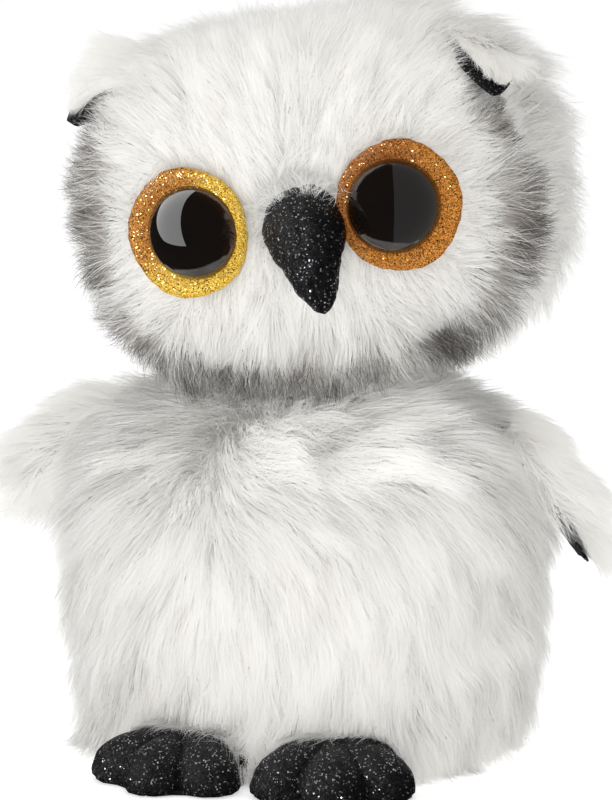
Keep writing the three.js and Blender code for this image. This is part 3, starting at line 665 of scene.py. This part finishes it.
high = c[:, 2] + 4 * waves(c, 12, 78) > 2
for name, keep, seed in (("face_panel_fur", HEAD_PANELS["face_panel"], 101),
                         ("crown_left_fur_upper", HEAD_PANELS["crown_panel_left"] & high, 102),
                         ("crown_left_fur_lower", HEAD_PANELS["crown_panel_left"] & ~high, 108),
                         ("crown_right_fur_upper", HEAD_PANELS["crown_panel_right"] & high, 103),
                         ("crown_right_fur_lower", HEAD_PANELS["crown_panel_right"] & ~high, 109)):
    head_fur(name, keep, seed)


def fringe_tone(p):
    """How grey each strand of the fringe is: in patches, paler beside the owl's right cheek, and paler under the chin
    as painted light against the shade below the head.
    """
    r = np.random.default_rng(105)
    patches = 0.68 + 0.34 * waves(p, 3.5, 72) + 0.5 * waves(p, 14, 71) + r.normal(size=len(p)) * 0.34
    cheek = step(-p[:, 0], 12, 30) * (1 - step(p[:, 1], FACE_SEAM + 0.5, FACE_SEAM + 4))
    # Paler under the chin is painted light, set against the shade there.
    return np.clip(patches - 0.24 * step(-p[:, 2], 14, 26) - 0.6 * cheek, 0.02, 0.98)


root, normal = inner.part(HEAD_PANELS["face_fringe"]).scatter(DENSITY * 1.1, 104)
chin = step(-root[:, 2], 14, 28)
hang = np.array([0.1, -0.5, -1.0]) + unit(root * [1, 1, 0]) * 0.4
flow = (head_flow(root) + np.array([0, 0.2, 0])) * (1 - chin[:, None]) + hang * chin[:, None]
tufts = np.clip(waves(root, 13, 79) + 0.4 * (root[:, 0] < 0), 0, 1) * chin
length = (12.5 + 5.5 * tufts) * (1 - 0.65 * under_ears(root))
fur("face_fringe_fur", "head", HEAD_PLACE, root, normal, flow, length, (56 + 14 * chin, 8 + 30 * chin - 16 * tufts),
    104, FUR_FRINGE, tone=fringe_tone(root), stray=20, frizz=1.0)


# Short hairs lean in over the edge of each ring and over the root of the beak.
by_ring = lambda p: (p[:, 2] > -6) & (np.abs(p[:, 0]) > EYE["x"] + 1)
by_beak = lambda p: (p[:, 2] > -12) & ((p[:, 0] < 3) | (p[:, 2] > 2))
to_eye = lambda p: np.where(p[:, :1] > 0, eye_axes(1)[1], eye_axes(-1)[1])
to_beak = lambda p: np.array([[BEAK_ROOT["x"], BEAK_ROOT["y"], BEAK_ROOT["z"]]]) + 0 * p
face = inner.part(HEAD_PANELS["face_panel"])
for name, distance, where, centre, per_mm2, seed in (("ring_edge_hairs", eye_distance, by_ring, to_eye, 3.0, 106),
                                                     ("beak_edge_hairs", beak_distance, by_beak, to_beak, 6.0, 107)):
    root, normal = face.scatter(per_mm2, seed)
    near = distance(root)
    band = (near > 0.1) & (near < 1.8) & where(root)
    aim = centre(root)[band]
    root, normal = root[band] + normal[band] * 1.5, normal[band]
    flow = unit(aim - root) + np.array([0, 0, 0.5])
    fur(name, "head", HEAD_PLACE, root, normal, flow, np.full(len(root), 6.2), (66, 26), seed, FUR_WHITE,
        width=0.11, stray=30, frizz=0.9)


# ---- Eyes ----
def disc_mesh(side):
    """An oval of glitter fabric, a little padded, with an uneven cut edge."""
    rings, around = 14, 120
    a = np.linspace(0, 2 * math.pi, around, endpoint=False)[None, :]
    r = np.concatenate([np.linspace(0.15, 1, rings), [1.0, 0.9]])[:, None]
    edge = 1 + 0.012 * np.sin(5 * a + side) + 0.005 * np.sin(19 * a + 2 * side) + 0.004 * np.sin(31 * a)
    front = np.concatenate([np.full(rings, 1.0), [0.0, 0.0]])[:, None] * np.ones_like(a)
    crown = 0.55 * np.sin(math.pi * np.clip((r - 0.7) / 0.3, 0, 1)) * front
    x = np.cos(a) * r * edge * DISC["w"]
    z = np.sin(a) * r * edge * DISC["h"]
    y = np.where(front > 0, -DISC["t"] / 2 - crown, DISC["t"] / 2)
    v = np.stack([x, y, z], -1).reshape(-1, 3)
    v[:, 1] += 0.05 * waves(v, 0.9, 40 + side)
    return v, grid_faces(len(r), around, True)


def dome_mesh():
    """The glossy cap with its shank, and how near the rim each vertex is."""
    rows, around = 40, 96
    radius = (DOME["r"] ** 2 + DOME["height"] ** 2) / (2 * DOME["height"])
    reach = math.asin(DOME["r"] / radius)
    t = np.linspace(0.002, reach, rows)[:, None]
    a = np.linspace(0, 2 * math.pi, around, endpoint=False)[None, :]
    cap = np.concatenate([radius * np.sin(t), radius * (1 - np.cos(t)) - DOME["height"]], 1)
    under = np.array([[DOME["r"] * 0.985, 0.25], [DOME["r"] * 0.3, 0.25], [2.4, 0.25], [2.4, 12.5], [0.02, 12.5]])
    out, y = np.split(np.concatenate([cap, under]), 2, axis=1)
    rim = np.concatenate([cap[:, 0] / DOME["r"], np.ones(len(under))])
    v = np.stack([out * np.cos(a), y + 0 * a, out * np.sin(a)], -1).reshape(-1, 3)
    return v, grid_faces(len(out), around, True), np.repeat(rim, around)


DOMES = {}
for side, label in SIDES.items():
    turn, at = eye_axes(side)
    eye = HEAD_PLACE.within(turn, at)
    v, f = disc_mesh(side)
    disc = make_mesh(f"eye_{label}_ring", v, f, "head", eye)
    dress(disc, GLITTER_RING[side], f"eye_{label}_glitter_disc", "glitter_gold")
    # Each ring is painted deeper in colour towards its upper side on the owl's right: painted shade from the pile
    # round that edge.
    paint_points(disc, "shaded", step(unit(v * [1, 0, 1]) @ np.array([-0.8, 0, 0.6]), -0.1, 0.7))
    v, f, rim = dome_mesh()
    DOMES[side] = make_mesh(f"eye_{label}_glossy_dome", v + [-side * DOME["nose"], -0.9, 0], f, "head", eye)
    dress(DOMES[side], EYE_BLACK, f"eye_{label}_dome", "eye_black")
    paint_points(DOMES[side], "rim", rim)


# ---- Beak ----
def swept(path, radius, rings, around):
    """A round form along a quadratic curve in the YZ plane."""
    a, b, d = (np.array(p, float) for p in path)
    t = np.linspace(0, 1, rings)[:, None]
    at = (1 - t) ** 2 * a + 2 * t * (1 - t) * b + t**2 * d
    along = unit(2 * (1 - t) * (b - a) + 2 * t * (d - b))
    x = np.array([1.0, 0, 0])
    up = np.cross(x, along)
    w = np.linspace(0, 2 * math.pi, around, endpoint=False)
    r = radius(t[:, 0])[:, None, None]
    v = at[:, None] + r * (x * np.cos(w)[None, :, None] + up[:, None] * np.sin(w)[None, :, None])
    return v, w, t


BEAK_RINGS, BEAK_AROUND = 60, 72
v, w, t = swept(BEAK_PATH, lambda t: 2.0 + 6.2 * (1 - t**2.3), BEAK_RINGS, BEAK_AROUND)
# The tip is closed by rounding the last rings off.
end = np.clip((t[:, 0] - 0.9) / 0.1, 0, 1)
axis = v.mean(1, keepdims=True)
v = axis + (v - axis) * np.sqrt(np.clip(1 - end**2, 0.0004, 1))[:, None, None]
flat = v.reshape(-1, 3)
normal = unit((v - axis).reshape(-1, 3))
# The fabric swells a little, and a seam runs down the front.
seam = np.exp(-((((w - math.pi / 2) % (2 * math.pi) - math.pi) / 0.09) ** 2))
flat = flat + normal * (0.22 * waves(flat, 5, 61) + 0.1 * waves(flat, 1.6, 62))[:, None]
flat = flat - normal * 0.35 * np.tile(seam, len(t))[:, None]
beak = make_mesh("beak_glitter_cover", flat, grid_faces(BEAK_RINGS, BEAK_AROUND, True), "head", HEAD_PLACE)
dress(beak, GLITTER_BLACK, "beak_cover", "glitter_black")


# ---- Body ----
def body_radius(z):
    low = 1 - BODY["taper"] * ((BODY["waist"] - z) / BODY["waist"]) ** 2
    up = np.clip((z - BODY["waist"]) / (BODY["top"] - BODY["waist"]), 0, 1)
    return np.where(z < BODY["waist"], low, (1 - up ** BODY["side"]) ** (1 / BODY["side"]))


def body_sheet(rows=80, cols=180):
    z = BODY["top"] * np.sin(np.linspace(0.0, 0.4999 * math.pi, rows))[:, None]
    a = np.linspace(0, 2 * math.pi, cols, endpoint=False)[None, :]
    plan = (np.abs(np.cos(a)) ** BODY["plan"] + np.abs(np.sin(a)) ** BODY["plan"]) ** (-1 / BODY["plan"])
    r = body_radius(z) * plan
    v = np.stack([r * np.cos(a) * BODY["a"], r * np.sin(a) * BODY["b"], z * np.ones_like(a)], -1)
    return Sheet(v.reshape(-1, 3), grid_faces(rows, cols, True))


def body_level(p):
    """1 on the body's surface at the height of p, more outside it."""
    x, y = np.abs(p[:, 0] / BODY["a"]), np.abs(p[:, 1] / BODY["b"])
    return (x ** BODY["plan"] + y ** BODY["plan"]) ** (1 / BODY["plan"]) / body_radius(p[:, 2])


body = body_sheet()
body_inner = body.inset(BACKING_INSET)
c = body.centre()
above = (c[:, 2] > 2.3) & ~((np.hypot(c[:, 0], c[:, 1]) < NECK_R) & (c[:, 2] > 60))
BODY_PANELS = {
    "belly_panel": (c[:, 1] < 0) & above,
    "back_panel_left": (c[:, 1] >= 0) & (c[:, 0] > 0) & above,
    "back_panel_right": (c[:, 1] >= 0) & (c[:, 0] <= 0) & above,
}
for node, keep in BODY_PANELS.items():
    part = body_inner.part(keep)
    dress(make_mesh(f"{node}_backing", part.v, part.f, "torso"), BACKING, node, "white_fur")


def foot_reach(angle):
    """How far the foot reaches at an angle from its middle toe: a lobe for each of three toes."""
    lobe = np.where(np.abs(angle) > 1.5 * FOOT["toe"], 0, np.abs(np.cos(math.pi * angle / FOOT["toe"])) ** 0.7)
    return FOOT["reach"] - FOOT["toe_depth"] + FOOT["toe_depth"] * lobe


def over_feet(path):
    """Pile that hangs to the ground lies on it, and pile over a foot lies on the foot."""
    p = path.copy()
    floor = np.full(p.shape[:2], 0.35)
    for side in SIDES:
        d = (p - np.array([side * FOOT["x"], FOOT["y"], 0])) @ turn_z(side * FOOT["splay"])
        r = np.hypot(d[..., 0], d[..., 1]) / foot_reach(np.arctan2(d[..., 0], -d[..., 1]))
        top = FOOT["height"] * np.sqrt(np.clip(1 - np.clip(r, 0, 1) ** 4, 0, 1)) + 0.5
        floor = np.where(r < 1, np.maximum(floor, top), floor)
    low = p[..., 2] < floor
    p[..., 2] = np.where(low, floor + 0.15 * np.abs(p[..., 2] - floor) ** 0.5, p[..., 2])
    return p


def body_flow(p):
    """The way the body's pile is combed: down, and outwards on the shoulders."""
    flow = np.array([0.0, 0.0, -1.0]) + np.zeros_like(p)
    top = step(p[:, 2], 50, 70)[:, None]
    outward = unit(p * np.array([1, 1, 0]))
    flow = flow + outward * top * 1.6
    # A swirl on the chest sweeps the pile to the owl's left.
    swirl = np.exp(-(((p[:, 0] - 8) / 20) ** 2 + ((p[:, 2] - 60) / 15) ** 2)) * (1 - step(p[:, 1], -12, 4))
    flow = flow * (1 - 0.6 * swirl[:, None]) + np.array([1.0, 0, -0.3]) * swirl[:, None] * 1.6
    return flow + wander(p, 30, 55) * 0.22


collar = c[:, 2] + 5 * waves(c, 9, 77) > 59
for name, keep, seed in (("belly_fur_upper", BODY_PANELS["belly_panel"] & (c[:, 2] > 34) & ~collar, 201),
                         ("belly_fur_lower", BODY_PANELS["belly_panel"] & (c[:, 2] <= 34), 202),
                         ("back_fur_left", BODY_PANELS["back_panel_left"] & ~collar, 203),
                         ("back_fur_right", BODY_PANELS["back_panel_right"] & ~collar, 204),
                         ("collar_fur", collar & above, 205)):
    root, normal = body_inner.part(keep).scatter(DENSITY, seed)
    length = 16.0 - 3.5 * step(-root[:, 2], -14, -3)
    shoulder = step(root[:, 2], 42, 68)
    owl_right = step(-root[:, 0], 18, 40)
    ahead = 1 - step(root[:, 1], -24, -6)
    hem = ahead * (1 - step(root[:, 2], 8, 24)) * step(root[:, 2], 2, 7)
    length = length + 2 * shoulder * ahead + 3 * owl_right + hem * (6 + 4 * np.exp(-(root[:, 0] / 16) ** 2))
    lift = 56 + 4 * shoulder + 6 * owl_right, 8 + 12 * shoulder + 6 * owl_right + 20 * hem
    pile = fur(name, "torso", WORLD, root, normal, body_flow(root), length, lift, seed, FUR_WHITE,
               turned=unit(root * [1, 1, 0]) * shoulder[:, None], settle=over_feet, large=(10.0, 0.18))
collar_pile = pile


# ---- Wings ----
def leaf(u, half):
    """Half width of the wing at u from root (0) to tip (1)."""
    belly = 0.72 + 0.28 * np.sin(math.pi * np.clip(u * 1.15, 0, 1))
    return half * belly * np.sqrt(1 - np.clip((u - 0.62) / 0.4, 0, 1) ** 2.2)


def wing_sheet(side, rows=30, cols=26):
    """The padded outside of the wing, a leaf that wraps round its own edge. X is away from the body, Z the root."""
    wrap = WING_WRAP[side]
    u = np.linspace(0.0, 0.985, rows)[:, None]
    s = np.linspace(-1, 1, cols)[None, :] * np.radians(wrap[0] + (wrap[1] - wrap[0]) * step(u, 0.3, 0.6))
    y = leaf(u, WING["width"] / 2) * np.sin(s)
    z = -u * WING["length"] + 0 * s
    x = side * (0.4 + WING["thick"] * np.cos(s) * np.sin(math.pi * np.clip(u * 0.9 + 0.12, 0, 1)) ** 0.5)
    v = np.stack([x, y, z], -1).reshape(-1, 3)
    f = grid_faces(rows, cols)
    return Sheet(v, f[:, ::-1] if side > 0 else f)


def wing_lining(side, rows=30, cols=22):
    """The flat glitter side of the wing, which widens to show at the free end."""
    u = np.linspace(0.0, 0.985, rows)[:, None]
    s = np.linspace(-1, 1, cols)[None, :]
    y = leaf(u, WING["width"] / 2 - 0.5) * (0.75 + 0.34 * step(u, 0.35, 0.75)) * s
    v = np.stack([0 * y, y, -u * (WING["length"] + 0.6) + 0 * s], -1).reshape(-1, 3)
    v[:, 0] = -side * (0.5 + 0.35 * np.abs(waves(v, 6, 81)))
    f = grid_faces(rows, cols)
    return v, f if side > 0 else f[:, ::-1]


for side, label in SIDES.items():
    pose = WING_POSE[side]
    turn = turn_z(side * pose["sweep"]) @ turn_y(-side * pose["lift"])
    place = Place(turn, (side * WING["x"], WING["y"], WING["z"]))
    outside = wing_sheet(side)
    skin = make_mesh(f"wing_{label}_backing", outside.v, outside.f, f"wing_{label}", place)
    dress(skin, BACKING, f"wing_{label}_fur", "white_fur")
    lining = make_mesh(f"wing_{label}_glitter_lining", *wing_lining(side), f"wing_{label}", place)
    line_with_glitter(lining, 0.5, f"wing_{label}_lining")
    root, normal = outside.scatter(DENSITY * 1.5, 300 + side)
    root = root - normal * 0.3
    hang = place.turn.T @ np.array([0, 0, -1.0])
    flow = np.array([0, 0, -0.6]) + root * [0, 0.05, 0] + hang * WING_HANG[side]
    tip = step(-root[:, 2], 18, 32)
    fur(f"wing_{label}_fur_pile", f"wing_{label}", place, root, normal, flow, 14.5 - 1.5 * side + 2 * tip,
        (66 - 6 * tip, 16 - 10 * tip), 310 + side, FUR_WHITE,
        turned=place.turn.T @ np.array([0, -0.9, 0.3]))


# ---- Ears ----
for side, label in SIDES.items():
    turn, at = ear_turn(side), EAR_POSE[side]["at"]
    place = HEAD_PLACE.within(turn, at)
    rows, cols = 26, 22
    u = np.linspace(-0.12, 1, rows)[:, None]
    s = np.linspace(-1, 1, cols)[None, :]
    half = EAR["width"] / 2 * (1 - np.clip(u, 0, 1) ** 1.8) ** 0.75 * (1 + np.clip(u, -1, 0)) + 0.4
    droop = -2.5 * np.clip(u, 0, 1) ** 2.2 + 30 * np.clip(u, -1, 0)
    flap = np.stack([side * u * EAR["length"] + 0 * s, s * half, droop + 1.9 + 0 * s], -1).reshape(-1, 3)
    # Near its root the flap is drawn down into the crown.
    crown = flap @ turn.T + at
    sewn = (1 - step(u + 0 * s, 0.0, 0.45)).reshape(-1, 1)
    crown = crown * (1 - sewn * (1 - np.minimum(1, 0.96 / head_level(crown)[:, None])))
    f = grid_faces(rows, cols)
    top = Sheet((crown - at) @ turn, f[:, ::-1] if side > 0 else f)
    skin = make_mesh(f"ear_{label}_backing", top.v, top.f, f"ear_{label}", place)
    dress(skin, BACKING, f"ear_{label}_fur", "white_fur")
    past_root = (side * top.centre()[:, 0]) > 2.5
    # The lining shows as a band round the free end, and draws in towards the root.
    out = step(side * top.v[:, :1] / EAR["length"], 0.3, 0.75)
    under = top.v * (np.array([1.02, 0.8, 1]) + out * np.array(EAR_GROW[side])) - [0, 0, 1.3]
    under[:, 1] -= EAR_AHEAD[side] * out[:, 0]
    lining = make_mesh(f"ear_{label}_glitter_lining", under, top.f[past_root], f"ear_{label}", place)
    line_with_glitter(lining, EAR_LINING[side], f"ear_{label}_lining")
    root, normal = top.scatter(DENSITY * 1.5, 400 + side)
    flow = np.array([side, 0, 0]) + root * [0, 0.03, 0]
    by_root = 1 - step(side * root[:, 0], -2, 9)
    edge = np.hypot(root[:, 0] / EAR["length"], np.minimum(root[:, 1], 0) / (EAR["width"] / 2))
    rim = step(edge, 0.6, 1.0) * (1 - by_root)
    length = 9.0 - 6 * rim
    if side < 0:
        length = np.minimum(length, np.maximum(EAR["length"] - np.abs(root[:, 0]), 0) + 0.6)
    fur(f"ear_{label}_fur_pile", f"ear_{label}", place, root, normal, flow, length, (30 - 12 * rim, 4), 410 + side,
        FUR_WHITE, stray=16, turned=place.turn.T @ np.array([0, -1.0, 0.5]))


# ---- Feet ----
for side, label in SIDES.items():
    rows, around = 26, 144
    a = np.linspace(0, 2 * math.pi, around, endpoint=False)[None, :]
    t = np.linspace(0, math.pi / 2, rows)[:, None]
    profile_r, profile_z = np.cos(t) ** 0.62, np.sin(t) ** 0.8
    angle = (a + math.pi) % (2 * math.pi) - math.pi
    reach = foot_reach(angle)
    x, y = np.sin(a) * reach * profile_r, -np.cos(a) * reach * profile_r
    notch = 1 - (reach - FOOT["reach"] + FOOT["toe_depth"]) / FOOT["toe_depth"]
    ahead = np.clip(np.cos(angle), 0, 1)
    z = 1.0 + (FOOT["height"] - 1.0) * profile_z * (1 - 0.22 * notch * ahead * np.sin(2 * t))
    smooth = np.stack([x, y, z], -1).reshape(-1, 3)
    v = smooth + unit(smooth * [1, 1, 0]) * (0.18 * waves(smooth, 4, 91 + side))[:, None]
    place = Place(turn_z(side * FOOT["splay"]), (side * FOOT["x"], FOOT["y"], 0))
    # The heel ends just inside the body's skin.
    f = grid_faces(rows, around, True)
    f = f[(body_level(place.out(v))[f] > 0.96).all(1)]
    cover = make_mesh(f"foot_{label}_glitter_cover", v, f, f"foot_{label}", place)
    dress(cover, GLITTER_BLACK, f"foot_{label}_cover", "glitter_black")
    filling = smooth * [0.86, 0.86, 0.8] + [0, 0, 0.5]
    fibre = make_mesh(f"foot_{label}_fibre", filling, f, f"foot_{label}", place)
    dress(fibre, BACKING, f"foot_{label}_stuffing", "stuffing")


# ---- CAD nodes that stay ----
KEPT = {
    fibre_material("polyester_fibre", (0.93, 0.93, 0.92)): [f"{part}_stuffing" for part in ("head", "body", "beak")],
    cloth_material("bag_cloth", (0.74, 0.71, 0.65), 0.25): ["pellet_bag", "module_pouch"],
    cloth_material("tape_cloth", (0.82, 0.81, 0.77), 0.3): ["neck_cord", "closure_loop_strip", "closure_hook_strip"],
    CLOTH: ["base_panel"],
    GLITTER_BLACK: ["foot_left_sole", "foot_right_sole"],
    plastic_material("case_plastic", (0.74, 0.76, 0.80)): ["module_case_front", "module_case_back", "battery_door"],
    plastic_material("button_plastic", (0.60, 0.09, 0.05), 0.35): ["press_button"],
    plastic_material("circuit_board_green", (0.02, 0.16, 0.06), 0.4): ["circuit_board"],
    metal_material("plated_steel", (0.62, 0.63, 0.65)): [
        *(f"{part}_{i}" for part in ("case_screw", "button_cell") for i in (1, 2, 3)), "door_screw", "speaker_magnet",
        "battery_contact_bridge", "battery_contact_end", "button_spring"],
    plastic_material("speaker_frame_black", (0.02, 0.02, 0.022), 0.5): ["speaker_basket"],
    plastic_material("speaker_film", (0.80, 0.77, 0.66), 0.25): ["speaker_film"],
    plastic_material("grey_rubber", (0.16, 0.17, 0.18), 0.7): ["switch_dome"],
    plastic_material("washer_plastic", (0.82, 0.82, 0.80), 0.5): ["eye_left_washer", "eye_right_washer"],
    plastic_material("pellet_fill", (0.66, 0.69, 0.72), 0.4, 0.4): ["pellet_fill"],
    plastic_material("wire_red", (0.45, 0.02, 0.015)): ["speaker_wire_red"],
    plastic_material("wire_black", (0.01, 0.01, 0.012)): ["speaker_wire_black"],
}
for material, names in KEPT.items():
    for name in names:
        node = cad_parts[name]
        node.data.materials.clear()
        node.data.materials.append(material)


# ---- Studio ----
def new_light(name, size, power):
    light = bpy.data.lights.new(name, "AREA")
    light.shape, light.size, light.size_y = "RECTANGLE", size[0], size[1]
    light.energy = power
    return add_object(name, light)


def point_at(ob, at, aim):
    ob.location = at
    ob.rotation_euler = Vector(np.array(aim, float) - np.array(at, float)).to_track_quat("-Z", "Y").to_euler()


def area_light(name, at, aim, size, power):
    ob = new_light(name, size, power)
    point_at(ob, at, aim)
    ob.visible_glossy = False
    return ob


def only(name, *objects):
    """A collection that light linking can use."""
    group = bpy.data.collections.new(name)
    for ob in objects:
        group.objects.link(ob)
    return group


bpy.ops.mesh.primitive_plane_add(size=6, location=(0, 0, -0.0002))
floor = bpy.context.object
floor.name = "floor"
m = Nodes("floor_paper")
m.surface(Base_Color=m.mix(m.noise(40, 2.0), (0.93, 0.93, 0.93), (0.96, 0.96, 0.96)), Roughness=0.9,
          Emission_Color=(1, 1, 1, 1), Emission_Strength=0.42)
floor.data.materials.append(m.mat)
floor.visible_glossy = False

# Soft lights light the fur, and no shiny surface mirrors them.
AIM = (0, 0, 0.08)
area_light("key", (-0.75, -0.65, 0.75), AIM, (0.6, 0.6), 1.42)
area_light("top", (-0.1, 0.15, 1.0), AIM, (0.8, 0.8), 0.6)
area_light("front", (0.05, -1.0, 0.03), AIM, (0.9, 0.4), 1.2)
# Two fills reach under the chin, because only the floor shades them. The second lights the collar alone.
only_floor = only("fill_blockers", floor)
fill = area_light("fill", (0.06, -0.72, 0.5), (0, 0, 0.07), (0.7, 0.5), 1.9)
throat = area_light("throat", (0.1, -0.8, 0.3), AIM, (0.7, 0.5), 2.1)
fill.light_linking.blocker_collection = throat.light_linking.blocker_collection = only_floor
throat.light_linking.receiver_collection = only("throat_receivers", collar_pile)

# Each eye mirrors its own panel. A panel is set by one edge and the way it runs from there, seen from the camera:
# right, up and towards it.
AZIMUTH, ELEVATION, DISTANCE = math.radians(15.5), math.radians(9.5), 0.8
level = math.cos(ELEVATION)
toward = np.array([math.sin(AZIMUTH) * level, -math.cos(AZIMUTH) * level, math.sin(ELEVATION)])
aside = np.array([math.cos(AZIMUTH), math.sin(AZIMUTH), 0])
VIEW = np.stack([aside, np.cross(toward, aside), toward])


def eye_panel(name, side, low, high, run, reach, power):
    low, high, run = np.array(low) @ VIEW, np.array(high) @ VIEW, np.array(run) @ VIEW
    up = unit(high - low)
    run = unit(run - up * (run @ up))
    middle = (low + high) / 2 + run * reach / 2
    face = np.cross(run, up)
    if face @ middle < 0:
        run, face = -run, -face
    at = HEAD_PLACE.out(eye_axes(side)[1]) * MM + middle
    ob = new_light(name, (reach, float(np.linalg.norm(high - low))), power)
    ob.matrix_world = Matrix(np.block([[np.stack([run, up, face, at], 1)], [0, 0, 0, 1]]).tolist())
    ob.light_linking.receiver_collection = only(name, DOMES[side])
    ob.visible_diffuse = False


eye_panel("left_eye_panel", -1, (-0.234, -0.354, 0.42), (0.072, 0.546, -0.24), (-0.95, -0.13, -0.28), 0.9, 9.0)
eye_panel("right_eye_panel", 1, (0.09, -3.0, 1.0), (0.0, 3.0, 1.0), (0.0, 0.0, -1.0), 3.0, 15.0)
# One more panel is mirrored in the glitter, and not in the eyes.
glint = new_light("glitter_panel", (0.5, 0.5), 5.0)
point_at(glint, (-0.40, -0.40, 0.36), (0, -0.05, 0.1))
glint.visible_diffuse = False
glint.visible_transmission = False
not_eyes = [ob for ob in bpy.context.scene.objects if ob.type == "MESH" and ob not in DOMES.values()]
glint.light_linking.receiver_collection = only("glitter_panel", *not_eyes)

# The surroundings are white to the camera, a soft grey to the fur, and almost black to anything glossy.
scene = bpy.context.scene
scene.world = bpy.data.worlds.new("studio")
scene.world.use_nodes = True
nodes, link = scene.world.node_tree.nodes, scene.world.node_tree.links.new
back, path = nodes["Background"], nodes.new("ShaderNodeLightPath")
glossy = nodes.new("ShaderNodeMapRange")
glossy.inputs["To Min"].default_value, glossy.inputs["To Max"].default_value = 0.68, 0.02
link(path.outputs["Is Glossy Ray"], glossy.inputs["Value"])
seen = nodes.new("ShaderNodeMath")
seen.operation = "MAXIMUM"
link(path.outputs["Is Camera Ray"], seen.inputs[0])
link(glossy.outputs["Result"], seen.inputs[1])
link(seen.outputs[0], back.inputs["Strength"])
back.inputs["Color"].default_value = (1, 1, 1, 1)

scene.view_settings.view_transform = "Standard"
scene.cycles.diffuse_bounces = 8
scene.cycles.transmission_bounces = 8
scene.cycles.max_bounces = 12

HALF_HEIGHT = 0.07925
aim = np.array([0.0, 0.0, 0.0682]) + aside * -0.001
camera = add_object("camera", bpy.data.cameras.new("camera"))
point_at(camera, aim + DISTANCE * toward, aim)
camera.data.sensor_fit = "VERTICAL"
camera.data.angle = 2 * math.atan(HALF_HEIGHT / DISTANCE)
scene.camera = camera
